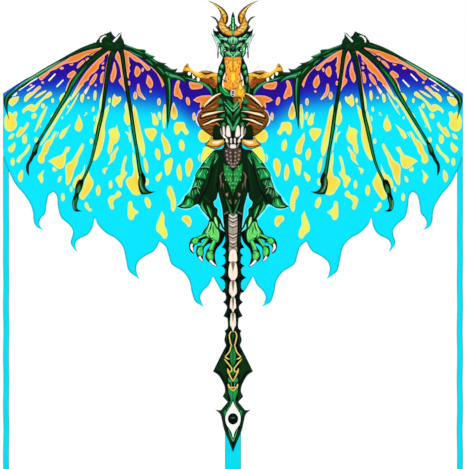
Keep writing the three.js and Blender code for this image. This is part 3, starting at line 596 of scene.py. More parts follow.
def torso():
    # Dark ground of the chest, hips and legs
    ground = loop(
        [(-1, 70, 1), (48, 70, 1), (58, 40), (60, 8), (62, -14), (96, -60), (100, -100), (62, -128),
         (60, -140), (30, -142), (30, -166), (52, -172), (60, -176), (76, -194), (96, -219), (110, -246),
         (118, -270), (128, -296), (144, -310, 1), (152, -330), (168, -342, 1), (152, -348), (130, -347),
         (114, -338), (105, -335), (99, -342), (84, -362), (70, -380), (60, -392), (44, -402), (24, -420),
         (24, -432), (-1, -432, 1)])
    light = srgb(120, 250, 255)
    brush([(88, -206), (110, -244), (124, -284), (146, -314), (166, -340)], [2, 6, 6, 6, 4], light)
    brush([(164, -344), (138, -350), (108, -338), (86, -364), (68, -386)], [4, 5, 6, 6, 5], light)
    ink(ground, srgb(0, 34, 6), BLACK, soft=7)
    # Sky between the thigh and the tail
    for gap in ([(45, -298, 1), (49, -318), (58, -328), (55, -341), (46, -350), (46, -366), (38, -378),
                 (32, -394), (27, -405), (30, -376), (33, -346), (40, -318)],
                [(39, -392, 1), (34, -404), (25, -417), (30, -414), (39, -404)]):
        ink(loop(gap), CYAN, light, soft=3)
    # Thigh: scales down to the spur of the knee
    plate([(60, -178, 1), (66, -186), (78, -202), (92, -220), (100, -227, 1), (88, -226), (76, -226),
           (64, -232, 1), (58, -220), (52, -210), (44, -196, 1), (44, -188), (50, -180)],
          [([(60, -181), (72, -195), (84, -212)], [1, 3, 8]),
           ([(50, -196), (60, -208), (66, -220)], [1, 4, 2])],
          [([(56, -184), (66, -196), (76, -210)], [1.5, 2.5, 1]),
           ([(52, -184), (60, -196), (68, -208)], [1.5, 2, 1]),
           ([(48, -188), (52, -198), (58, -208)], [1, 2, 1])])
    lines(srgb(104, 190, 140),
          [([(98, -225), (80, -223), (65, -229)], [1, 3, 2]),
           ([(46, -192), (52, -204), (60, -218)], [1, 2, 1])])
    plate([(103, -229, 1), (110, -240), (114, -252), (104, -257), (90, -259), (78, -263, 1), (79, -250),
           (75, -242), (72, -235, 1), (84, -228)],
          [([(92, -238), (100, -246), (104, -254)], [2, 9, 3]),
           ([(82, -240), (86, -250), (84, -258)], [1, 3, 1])],
          [([(86, -228), (91, -236), (95, -246)], [2, 3, 1]),
           ([(94, -229), (98, -236), (100, -240)], [2, 2, 1]),
           ([(78, -233), (83, -242), (84, -252)], [2, 2, 1])])
    lines(srgb(150, 210, 170),
          [([(90, -232), (95, -240)], [1, 2]), ([(76, -236), (76, -248), (80, -260)], [1, 2, 1])])
    plate([(114, -262, 1), (120, -274), (123, -286, 1), (108, -284), (98, -290, 1), (95, -278), (88, -270),
           (98, -262)], [([(108, -268), (114, -277), (116, -283)], [1, 5, 2])],
          [([(104, -262), (100, -274), (99, -284)], [2, 3, 1]),
           ([(110, -262), (107, -273), (106, -282)], [2, 3, 1]), ([(96, -264), (94, -274)], [2, 1])],
          middle=srgb(40, 146, 84))
    lines(srgb(140, 190, 150),
          [([(101, -264), (96, -276)], [1, 2]), ([(122, -285), (108, -282), (98, -288)], [1, 2, 1])])
    plate([(123, -292, 1), (134, -302), (143, -311, 1), (130, -314), (116, -318, 1), (112, -308),
           (104, -300), (112, -290)], [([(126, -298), (132, -306), (132, -312)], [1, 5, 2])],
          [([(118, -292), (118, -304), (116, -314)], [2, 4, 1]),
           ([(124, -294), (126, -304), (124, -312)], [1, 2, 1])], middle=srgb(30, 120, 60))
    lines(srgb(130, 170, 140),
          [([(108, -286), (104, -296), (100, -304)], [1, 3, 1]), ([(114, -292), (112, -304)], [1, 2]),
           ([(121, -296), (120, -308)], [1, 2])])
    plate([(137, -317, 1), (144, -326), (152, -335), (161, -342, 1), (146, -346), (128, -345), (118, -338),
           (119, -324), (127, -317)], [([(134, -320), (134, -330), (138, -340)], [2, 9, 3])],
          [([(126, -320), (124, -332)], [2, 3]), ([(144, -328), (146, -338)], [1, 2])])
    lines(srgb(130, 190, 110), [([(156, -342), (146, -341), (136, -338)], [1, 4, 1])])
    # Shin
    for line, widths in [
        ([(90, -325), (94, -340), (84, -360)], [2, 12, 4]),
        ([(79, -337), (70, -354), (63, -378)], [3, 13, 3])]:
        brush(line, widths, srgb(24, 156, 72), SHADE, soft=4)
    lines(srgb(96, 200, 126),
          [([(94, -336), (88, -350), (79, -364)], [1, 3, 1]),
           ([(78, -341), (71, -356), (66, -372)], [1, 3, 1])])
    lines(BLACK,
          [([(90, -338), (84, -350), (80, -358)], [1, 3, 1]),
           ([(70, -346), (66, -358), (63, -368)], [1, 2, 1])])
    # Soft folds
    for points, widths in [
        ([(60, -200), (72, -244), (88, -300)], [4, 10, 6]),
        ([(40, -184), (50, -240), (58, -300)], [3, 8, 5]),
        ([(92, -300), (80, -320), (64, -334)], [5, 10, 5]),
        ([(26, -300), (24, -330), (20, -352)], [4, 9, 4])]:
        brush(points, widths, srgb(2, 62, 12), srgb(0, 24, 4), soft=4)
    lines(BLACK,
          [([(52, -178), (62, -224), (76, -280)], [3, 5, 3]),
           ([(70, -262), (84, -296), (104, -330)], [2, 6, 3]),
           ([(40, -240), (46, -280), (46, -300)], [3, 6, 4]),
           ([(28, -310), (20, -340), (14, -364)], [3, 5, 3])])
    lines(srgb(138, 112, 94),
          [([(30, -238), (38, -250), (36, -270), (37, -288)], [3, 6, 5, 1]),
           ([(28, -238), (26, -250)], [4, 2]), ([(30, -272), (28, -292)], [5, 1]),
           ([(28, -366), (14, -358)], [3, 6])], rim=srgb(60, 44, 36))
    ink(loop([(14, -299, 1), (16, -316, 1), (23, -305)]), srgb(190, 142, 122), srgb(90, 60, 50), soft=2)
    lines(srgb(120, 120, 76), [([(10, -322), (6, -334)], [6, 2])])


def foot():
    # Three toes on a broad pad, each with a pale claw
    ink(loop([(72, -380, 1), (76, -398), (88, -414), (96, -428), (112, -434), (124, -438), (132, -456),
              (128, -476), (116, -484, 1), (120, -470), (112, -456), (100, -450), (108, -462), (111, -478),
              (106, -494), (88, -508, 1), (90, -490), (84, -470), (80, -478), (84, -492), (76, -506),
              (46, -524, 1), (52, -506), (54, -484), (46, -466), (34, -452), (28, -440), (24, -420),
              (40, -408), (52, -384)]), BLACK)
    for gap in ([(96, -446, 1), (86, -452), (80, -440), (88, -440)],
                [(62, -452, 1), (82, -478), (86, -500), (88, -470), (76, -456)],
                [(24, -440, 1), (36, -458), (48, -468), (54, -486), (52, -506), (42, -520), (24, -520)],
                [(82, -440, 1), (98, -452), (113, -458), (118, -476), (112, -474), (108, -460),
                 (94, -458)]):
        ink(loop(gap), CYAN)
    pad = srgb(98, 216, 100)
    ink(loop([(66, -386, 1), (72, -400), (84, -418), (80, -432), (66, -440), (52, -450), (43, -444),
              (41, -420), (50, -404), (58, -390)]), pad, LEAF, soft=5, line=1.0)
    lines(srgb(176, 250, 160),
          [([(68, -388), (72, -404), (78, -420)], [3, 5, 3]),
           ([(60, -392), (62, -410), (64, -424)], [2, 4, 2]),
           ([(54, -374), (50, -392), (46, -404)], [5, 9, 2]),
           ([(84, -424), (66, -432), (52, -430)], [4, 4, 2]),
           ([(48, -410), (44, -424), (45, -440)], [2, 3, 2])], rim=pad)
    lines(BLACK,
          [([(64, -392), (68, -408), (74, -418)], [2, 4, 1]), ([(57, -386), (46, -408)], [2, 3]),
           ([(74, -426), (66, -438), (58, -434)], [2, 4, 1])])
    lines(SHADE, [([(60, -398), (60, -412), (58, -424)], [1, 4, 1])])
    toe = srgb(120, 232, 124)
    lines(srgb(60, 190, 84),
          [([(80, -426), (94, -431), (108, -438)], [7, 7, 8]),
           ([(76, -438), (86, -452), (97, -466)], [8, 8, 9]),
           ([(54, -442), (62, -460), (68, -480)], [10, 12, 12])], rim=LEAF, line=0.8)
    for points in (
        [(104, -436), (118, -437), (124, -448), (114, -456), (103, -448)],
        [(104, -466), (92, -462), (89, -484), (98, -493), (108, -480)],
        [(77, -480), (62, -474), (59, -498), (70, -504), (79, -492)]):
        ink(loop(points), srgb(76, 206, 92), srgb(14, 110, 40), soft=3, line=1.4)
    lines(toe,
          [([(82, -428), (94, -433), (104, -437)], [3, 3, 3]),
           ([(110, -438), (118, -444), (116, -451)], [3, 5, 1]),
           ([(79, -440), (86, -450), (94, -460)], [3, 4, 3]),
           ([(101, -466), (102, -478), (98, -488)], [3, 6, 2]),
           ([(56, -446), (64, -460), (68, -472)], [4, 6, 4]),
           ([(73, -480), (71, -490), (66, -498)], [4, 7, 2])], rim=pad)
    lines(SHADE,
          [([(98, -444), (106, -448)], [1, 3]), ([(90, -468), (96, -474)], [2, 1]),
           ([(60, -480), (66, -486)], [3, 1])])
    lines(WHITE,
          [([(122, -454), (125, -464), (118, -479)], [6, 7, 1]),
           ([(101, -492), (96, -500), (89, -506)], [7, 5, 1]),
           ([(68, -503), (60, -513), (49, -521)], [8, 6, 1])], line=1.8)


def chest():
    # Rib cage: brown with slanting muscle and pale ribs
    ink(loop([(40, -4, 1), (62, -15), (81, -30), (93, -45), (96, -52), (106, -62), (108, -78), (103, -93),
              (92, -108), (78, -120), (61, -131, 1), (58, -110), (46, -70), (40, -30)]),
        srgb(122, 70, 10), UMBER, soft=5, line=2.0)
    brush([(106, -66), (110, -78), (108, -90), (101, -101)], [2, 4, 5, 2], srgb(232, 226, 250))
    brush([(95, -52), (102, -58), (107, -66)], [3, 5, 2], srgb(206, 180, 232))
    muscle = [([(50, -22), (68, -36), (86, -52)], [3, 9, 4]),
              ([(46, -36), (64, -48), (88, -56)], [3, 6, 3]),
              ([(46, -64), (72, -74), (104, -84)], [4, 9, 5]),
              ([(50, -74), (72, -82), (98, -94)], [2, 5, 3]),
              ([(46, -92), (70, -98), (96, -104)], [5, 8, 4]),
              ([(58, -102), (74, -106), (86, -112)], [4, 5, 3]),
              ([(60, -116), (68, -118), (76, -118)], [4, 4, 2])]
    for points, widths in muscle:
        brush(points, widths, srgb(166, 100, 40), srgb(112, 62, 8), soft=3)
    lines(srgb(200, 130, 86),
          [([(54, -88), (46, -94), (40, -100)], [2, 4, 1]), ([(64, -68), (52, -72)], [3, 1]),
           ([(72, -44), (60, -44), (50, -40)], [1, 3, 1])])
    lines(UMBER,
          [([(88, -50), (66, -42), (50, -30)], [1, 3, 1]),
           ([(92, -100), (74, -100), (58, -104)], [1, 2, 1]),
           ([(84, -112), (70, -110), (60, -110)], [1, 3, 1]),
           ([(100, -88), (84, -82), (60, -78)], [1, 3, 1]), ([(74, -30), (84, -40), (92, -52)], [2, 4, 2])])
    lines(BLACK,
          [([(84, -44), (66, -30), (46, -14)], [3, 6, 3]), ([(92, -60), (62, -56), (30, -52)], [3, 4, 3]),
           ([(98, -80), (66, -70), (30, -62)], [3, 5, 3]), ([(90, -92), (62, -80), (34, -74)], [3, 4, 3]),
           ([(96, -104), (66, -92), (30, -86)], [2, 4, 3]), ([(96, -66), (97, -76), (92, -80)], [3, 4, 2])])
    lines(srgb(226, 150, 60), [([(70, -15), (82, -27), (92, -42)], [2, 4, 2])], line=0.8, edge=UMBER)
    bone = srgb(255, 250, 220)
    lines(bone,
          [([(36, -2), (52, -9), (66, -19), (78, -31), (88, -43)], [2, 5, 7, 6, 3]),
           ([(25, -56), (45, -58), (62, -62), (80, -66), (94, -72)], [1, 4, 6, 7, 4]),
           ([(28, -79), (46, -81), (60, -85), (76, -92), (90, -98)], [1, 4, 6, 5, 3])],
          rim=srgb(224, 160, 62))
    lines(bone,
          [([(52, -9), (66, -19), (76, -29)], [1, 3, 1]), ([(58, -61), (72, -63), (84, -67)], [1, 3, 1]),
           ([(46, -81), (58, -83), (70, -89)], [1, 3, 1])])
    # Green plates of the chest
    scale([(37, -14, 1), (31, -25), (30, -34, 1), (38, -35), (48, -32, 1), (44, -22)],
          middle=srgb(26, 134, 74), soft=3)
    scale([(29, -38, 1), (28, -54, 1), (40, -54), (54, -56, 1), (46, -46), (36, -42)],
          middle=srgb(40, 140, 80), soft=3)
    scale([(24, -61, 1), (24, -75, 1), (44, -74, 1), (34, -67)], middle=srgb(36, 144, 70), soft=3)
    scale([(30, -88, 1), (22, -92), (24, -102), (36, -104, 1), (34, -94)], middle=srgb(50, 130, 84), soft=3)
    lines(srgb(10, 142, 74), [([(18, -20), (10, -33), (0, -44)], [3, 11, 12])], rim=SHADE)
    lines(srgb(96, 220, 150), [([(27, -27), (14, -42), (0, -56)], [2, 3, 5])], rim=srgb(50, 160, 100))
    lines(srgb(64, 166, 110),
          [([(24, -42), (14, -57), (2, -74)], [2, 8, 3]), ([(20, -72), (12, -88), (3, -104)], [2, 9, 5]),
           ([(10, -96), (4, -106), (0, -114)], [3, 9, 7])], rim=srgb(14, 110, 54))
    lines(srgb(4, 74, 30),
          [([(12, -60), (6, -72), (0, -84)], [1, 5, 6]), ([(30, -18), (20, -28), (10, -38)], [1, 2, 1])])
    throat(100)
    # Collar plates under the throat
    collar_scales()
    ink(loop([(42, 24, 1), (34, 20), (30, 10), (20, 4), (10, 0), (3, -4), (4, -11), (14, -13), (26, -9),
              (32, -2), (40, 6)]), srgb(16, 146, 70), SHADE, soft=4, line=1.5)
    lines(srgb(104, 226, 112),
          [([(32, 18), (25, 7), (15, 1)], [3, 5, 3]), ([(28, -4), (18, -8), (8, -8)], [1, 2, 1])],
          rim=srgb(50, 180, 80))
    lines(LEAF, [([(49, 18), (48, 6), (46, -4)], [2, 6, 2])], rim=SHADE)


def throat(top):
    """Burning gold from this height down to the collar, between two white side horns."""
    ink(loop([(-1, top, 1), (23, top), (26, 84), (24, 66), (28, 44), (30, 28), (25, 14), (12, 7),
              (-1, 5, 1)]), srgb(252, 166, 52), srgb(176, 112, 24), soft=5)
    for points, widths in [
        ([(22, 96), (18, 78), (20, 60)], [5, 8, 3]), ([(16, 54), (18, 40), (12, 24)], [4, 12, 6]),
        ([(14, 30), (8, 20), (2, 14)], [3, 8, 5])]:
        brush(points, widths, srgb(252, 180, 84), srgb(240, 152, 44), soft=3)
    lines(srgb(255, 226, 44),
          [([(4, 96), (8, 84), (4, 72), (10, 60)], [4, 5, 3, 1]),
           ([(16, 92), (12, 78), (16, 64)], [2, 3, 1]), ([(0, 60), (3, 44), (0, 30)], [5, 8, 4])],
          rim=srgb(250, 190, 40))
    for d, z, wide, high in [
        (13, 90, 4, 8), (16, 76, 5, 7), (7, 64, 6, 6), (10, 70, 4, 8), (20, 86, 4, 9), (3, 78, 3, 6),
        (18, 52, 4, 5), (14, 40, 4, 7), (9, 48, 3, 6), (20, 36, 3, 5), (12, 28, 5, 4), (6, 34, 3, 6),
        (18, 20, 5, 4), (8, 14, 6, 4), (22, 62, 3, 7)]:
        ink(oval(d, z, wide, high, 12, corners=8), srgb(150, 80, 8), srgb(214, 130, 30), soft=1.6)
    lines(srgb(150, 128, 96), [([(25, 56), (22, 44), (26, 32)], [2, 4, 2])])
    lines(srgb(255, 252, 240), [([(23, 58), (27, 46), (31, 35), (31, 26), (27, 13)], [2, 5, 6, 6, 2])],
          rim=srgb(226, 214, 190))
    lines(UMBER, [([(30, 39), (24, 34), (17, 30)], [2, 4, 2]), ([(21, 57), (19, 53)], [4, 3])])
    brush([(30, 104), (29, 86), (26, 68), (33, 50), (36, 26), (38, 6)], [9, 9, 9, 9, 7, 8], BLACK)


def collar_scales():
    for d, z, wide, high in [(33, 78, 14, 16), (37, 60, 14, 18), (43, 40, 13, 24)]:
        ink(oval(d, z, wide, high, -6), srgb(40, 150, 94), srgb(4, 70, 34), soft=4, line=1.6)
        ink(oval(d, z + 2, wide * 0.42, high * 0.5, -6), srgb(104, 206, 150), srgb(50, 160, 104), soft=1.5)


def fire():
    """Flames beside the eyelet, printed on the right half only."""
    gold, hot = srgb(236, 170, 36), srgb(252, 206, 44)
    ink(loop([(36, 24, 1), (32, 14), (38, 4), (34, -6), (38, -18), (30, -14), (26, -24), (20, -38, 1),
              (16, -24), (8, -14), (0, -12), (0, 12), (10, 12), (20, 26), (28, 20)]), gold,
        srgb(150, 110, 10), soft=5)
    ink(loop([(8, -12, 1), (2, -14), (0, -26), (6, -32, 1), (12, -22)]), srgb(150, 96, 40),
        srgb(90, 50, 10), soft=3)
    lines(srgb(106, 44, 0),
          [([(10, -14), (20, -16), (26, -20)], [4, 8, 3]), ([(3, -18), (5, -26)], [6, 3]),
           ([(22, 12), (24, 6)], [5, 2])], rim=srgb(140, 80, 10))
    lines(hot,
          [([(30, 8), (26, -2), (18, -8)], [3, 8, 7]), ([(18, 20), (20, 6), (14, -6)], [4, 7, 4]),
           ([(34, -4), (30, -14)], [5, 2])], rim=gold)
    lines(srgb(255, 244, 150),
          [([(20, 24), (24, 14), (22, 8)], [3, 4, 1]), ([(28, -16), (30, -26)], [3, 1])])
    lines(srgb(226, 130, 60), [([(28, -22), (22, -34), (24, -46)], [5, 6, 2])], rim=srgb(150, 80, 20))
    lines(srgb(120, 160, 90), [([(14, -26), (8, -38), (0, -46)], [3, 6, 6])])


def shoulder_plate():
    ink(loop([(46, 58, 1), (58, 62), (76, 66), (92, 68), (103, 63), (114, 66), (126, 77), (136, 90, 1),
              (145, 82), (150, 72), (153, 60, 1), (140, 62), (126, 57), (112, 47), (98, 38), (84, 30),
              (70, 24), (56, 12), (48, 24), (46, 40)]), srgb(222, 156, 40), UMBER, soft=3.5, line=1.4,
        edge=UMBER)
    brush([(100, 42), (80, 35), (62, 32), (55, 16)], [3, 14, 20, 5], srgb(138, 66, 14), srgb(92, 46, 8),
          soft=4)
    lines(srgb(178, 82, 40),
          [([(58, 40), (56, 28), (54, 18)], [4, 8, 3]), ([(72, 40), (66, 34), (60, 36)], [3, 7, 2])],
          rim=srgb(130, 60, 16))
    lines(srgb(252, 196, 56),
          [([(143, 72), (130, 68), (112, 56), (90, 48)], [12, 11, 12, 8]),
           ([(84, 51), (68, 53), (50, 54)], [5, 10, 8])], rim=srgb(214, 144, 36))
    lines(srgb(255, 250, 176),
          [([(132, 80), (122, 68), (108, 59), (94, 57)], [3, 5, 5, 1]),
           ([(84, 50), (76, 46), (70, 44)], [1, 3, 1]), ([(52, 57), (48, 52)], [4, 3])],
          rim=srgb(250, 214, 90))
    lines(srgb(96, 28, 0),
          [([(94, 60), (80, 56), (68, 58), (56, 60)], [2, 7, 6, 1]),
           ([(72, 45), (66, 44), (58, 47)], [2, 5, 1]), ([(141, 79), (137, 77)], [5, 5]),
           ([(86, 58), (80, 50)], [3, 1])], rim=UMBER)
    lines(UMBER,
          [([(149, 63), (130, 61), (111, 48), (92, 38)], [3, 3, 3, 1]), ([(84, 44), (76, 50)], [1, 2])])
    lines(srgb(190, 160, 116), [([(96, 67), (86, 68), (76, 66)], [1, 5, 1])])
    for points in (
        [(135, 61), (127, 60), (127, 54), (131, 51), (135, 54)],
        [(122, 56), (117, 49), (113, 47), (116, 43), (121, 42)],
        [(108, 45), (101, 43), (100, 37), (104, 33), (108, 37)]):
        ink(loop(points), WHITE, line=1.0)
    # A small pale spur standing behind the plate
    ink(loop([(64, 63, 1), (70, 75), (73, 85), (69, 96, 1), (77, 86), (81, 76), (83, 66, 1), (74, 65)]),
        srgb(252, 250, 254), line=1.8, edge=srgb(52, 46, 62))


def belly():
    for points in (
        [(31, -103), (25, -104), (24, -128), (30, -130)],
        [(18, -100), (11, -103), (7, -132), (20, -130), (21, -116)],
        [(21, -136), (16, -140), (14, -150), (22, -148)], [(8, -137), (3, -138), (4, -153), (8, -152)]):
        ink(loop(points), srgb(255, 240, 228), srgb(196, 180, 168), soft=2.5, line=1.0)
    lines(WHITE, [([(31, -126), (26, -133), (19, -138)], [4, 6, 2])], line=0.8)
    ink(loop([(-1, -156, 1), (8, -157), (8, -169), (-1, -170, 1)]), srgb(240, 232, 222), line=1.0)
    lines(srgb(170, 160, 148),
          [([(18, -152), (14, -160), (10, -166)], [3, 6, 2]),
           ([(37, -106), (36, -118), (32, -130)], [2, 6, 2])], rim=srgb(90, 84, 78))
    # Rows of grey scales narrowing to the hips
    ink(loop([(-1, -168, 1), (24, -168), (24, -200), (14, -218), (0, -229, 1)]), srgb(84, 68, 60), BLACK,
        soft=4)
    for row, (z, half) in enumerate([(-176, 20), (-188, 18), (-200, 17), (-211, 12), (-221, 6)]):
        for k in range(2 + (row < 3)):
            d = half - k * half * 0.62
            if d > -1:
                ink(oval(d, z - (half - d) * 0.35, 9, 8, 30), TAUPE, srgb(74, 58, 50), soft=2.6, line=0.8)
    # Gold hook at the waist
    ink(loop([(83, -156, 1), (73, -147), (64, -134, 1), (58, -141), (44, -142), (28, -139, 1), (26, -151),
              (36, -160), (50, -167), (66, -165)]), srgb(236, 176, 60), BROWN, soft=3.5, line=2.0)
    brush([(78, -157), (60, -162), (42, -160), (28, -148)], [2, 3, 3, 1], UMBER)
    brush([(62, -150), (48, -150), (34, -145)], [5, 11, 3], CREAM, srgb(248, 214, 120), soft=3)
    lines(srgb(240, 190, 84), [([(61, -134), (70, -144)], [2, 4])], line=1.0, edge=UMBER)
    # Green plate of the hips, with pale flecks
    ink(loop([(29, -208, 1), (22, -216), (8, -226), (0, -238, 1), (0, -312, 1), (8, -290), (16, -272),
              (24, -256), (28, -236)]), srgb(30, 150, 66), srgb(6, 74, 26), soft=5, line=2.0)
    for d, z in [
        (18, -230), (12, -245), (22, -262), (16, -222), (24, -246), (8, -258), (6, -264), (3, -286),
        (14, -262), (4, -246), (10, -274), (2, -272)]:
        ink(oval(d, z, 3.2, 6, corners=8), srgb(150, 214, 140), srgb(60, 170, 84), soft=1)
        ink(oval(d - 3, z - 5, 2.4, 5, corners=8), srgb(4, 56, 20))
    lines(srgb(46, 132, 74), [([(21, -318), (13, -340), (5, -362), (0, -369)], [2, 5, 6, 6])], rim=SHADE)
    lines(srgb(88, 104, 60), [([(9, -322), (5, -334)], [5, 2])])


def tail():
    ink(loop([(-1, -366, 1), (22, -366), (28, -380), (25, -400), (24, -440), (26, -452), (34, -465, 1),
              (24, -470), (22, -480), (31, -489, 1), (24, -494), (22, -506), (26, -514), (36, -520, 1),
              (27, -526), (24, -536), (28, -546), (40, -556, 1), (29, -562), (24, -572), (24, -586),
              (36, -598, 1), (60, -604, 1), (70, -850), (60, -1090), (-1, -1090, 1)]), BLACK)
    side = srgb(4, 44, 10)
    for z0, z1, half in [
        (-372, -462, 19), (-470, -520, 19), (-524, -554, 20), (-560, -600, 19), (-604, -628, 20),
        (-634, -668, 19), (-680, -712, 13), (-722, -758, 19)]:
        brush([(half, z0), (half + 1, (z0 + z1) / 2), (half, z1)], [3, 9, 3], side, BLACK, soft=3)
    ink(loop([(24, -768, 1), (34, -790), (54, -832), (40, -840), (28, -860), (20, -880), (16, -850),
              (18, -800)]), srgb(6, 50, 6), BLACK, soft=7)
    ink(loop([(22, -888, 1), (28, -911), (14, -924), (14, -900)]), srgb(10, 54, 10), BLACK, soft=4)
    # Banded grey scales, then pointed pale ones
    ink(loop([(-1, -366, 1), (12, -368), (13, -420), (11, -450), (12, -478), (-1, -480, 1)]),
        srgb(176, 160, 148), srgb(150, 150, 130), soft=3)
    for k, z in enumerate([-376, -386, -402, -424, -434, -452, -462]):
        brush([(13, z + 3), (6, z - 1), (0, z - 4)], [2, 2.2, 3], srgb(50, 34, 26))
        if k in (1, 2, 4, 5):
            brush([(9, z + 6), (4, z + 4), (0, z + 2)], [1, 3, 4], srgb(236, 212, 200))
    brush([(12, -366), (6, -372), (0, -375)], [2, 4, 5], srgb(226, 218, 204))
    for top, low, half, core in [
        (-474, -524, 12, None), (-512, -575, 13, -540), (-568, -623, 11, -602), (-618, -664, 9, -656),
        (-664, -720, 8.5, -694)]:
        shape = loop(
            [(0, top + 4, 1), (half * 0.7, top), (half, top - 18), (half, (top + low) / 2 - 6),
             (half * 0.5, low + 14), (0, low, 1), (-half * 0.5, low + 14), (-half, (top + low) / 2 - 6),
             (-half, top - 18), (-half * 0.7, top)], 2.5)
        ink(shape, srgb(255, 236, 220), srgb(232, 232, 204), soft=3.5, line=1.6)
        if core:
            ink(loop([(0, top + 4, 1), (half * 0.45, top), (0, core, 1), (-half * 0.45, top)], 2.5),
                srgb(128, 108, 92), srgb(186, 170, 150), soft=2)
    # Green core between gold tracery, down to the crown
    ink(loop([(0, -722, 1), (4, -726), (2, -745), (3, -757), (4, -770), (9, -784), (8, -806), (3, -822),
              (5, -838), (0, -862, 1)]), srgb(20, 148, 66), SHADE, soft=2.6)
    tracery = [([(5, -716), (11, -728), (8, -748), (4, -762)], [3, 4, 4, 3]),
               ([(6, -762), (11, -778), (24, -793)], [4, 4, 3]),
               ([(24, -793), (17, -798), (10, -800)], [4, 5, 2]),
               ([(26, -800), (14, -814), (5, -826), (4, -834), (9, -839)], [3, 4, 4, 4, 4]),
               ([(17, -827), (14, -836), (12, -843)], [1, 6, 7]),
               ([(13, -840), (7, -854), (0, -866)], [5, 4, 3]),
               ([(14, -874), (11, -886), (0, -896)], [4, 6, 4]),
               ([(12, -886), (4, -884), (0, -886)], [2, 4, 4])]
    lines(srgb(246, 226, 130), tracery, rim=srgb(196, 170, 60))
    ink(oval(9, -829, 6, 7), BLACK)
    scale([(14, -852, 1), (15, -868), (2, -871), (2, -866), (9, -858)], middle=srgb(40, 160, 96), soft=2.5)
    lines(srgb(60, 160, 130), [([(6, -872), (4, -882)], [4, 1])])
    ink(oval(0, -889, 7, 4), srgb(160, 112, 20))
    ink(loop([(15, -884, 1), (14, -900), (9, -914), (6, -926), (3, -926), (0, -918), (0, -899), (8, -890)]),
        srgb(34, 156, 80), srgb(8, 96, 40), soft=3)
    # Leaf at the end, round a wide white eye
    leaf_rim = srgb(6, 50, 14)
    ink(loop([(15, -926, 1), (28, -944), (38, -954), (50, -953, 1), (38, -964), (31, -976), (31, -990),
              (24, -1014), (10, -1048), (2, -1064), (6, -1040), (22, -1000), (24, -974), (16, -950),
              (4, -930)]), leaf_rim, BLACK, soft=3)
    lines(srgb(70, 170, 110),
          [([(5, -924), (8, -938), (18, -952)], [2, 3, 3]),
           ([(14, -1008), (8, -1028), (0, -1046)], [2, 4, 5])], rim=LEAF)
    scale([(18, -950, 1), (27, -954), (28, -964), (24, -974), (19, -960)], middle=srgb(30, 150, 70), soft=3)
    eye = loop([(0, -926, 1), (6, -940), (14, -952), (21, -965), (23, -980), (19, -997), (10, -1010),
                (4, -1022), (1, -1036, 1), (-4, -1022), (-10, -1010), (-19, -997), (-23, -980), (-21, -965),
                (-14, -952), (-6, -940)])
    ink(eye, WHITE, line=2.2)
    ink(oval(0, -979, 31, 34, corners=28), BLACK)
    ink(oval(0, -976, 16, 7, corners=14), srgb(60, 110, 90), srgb(10, 40, 20), soft=3)


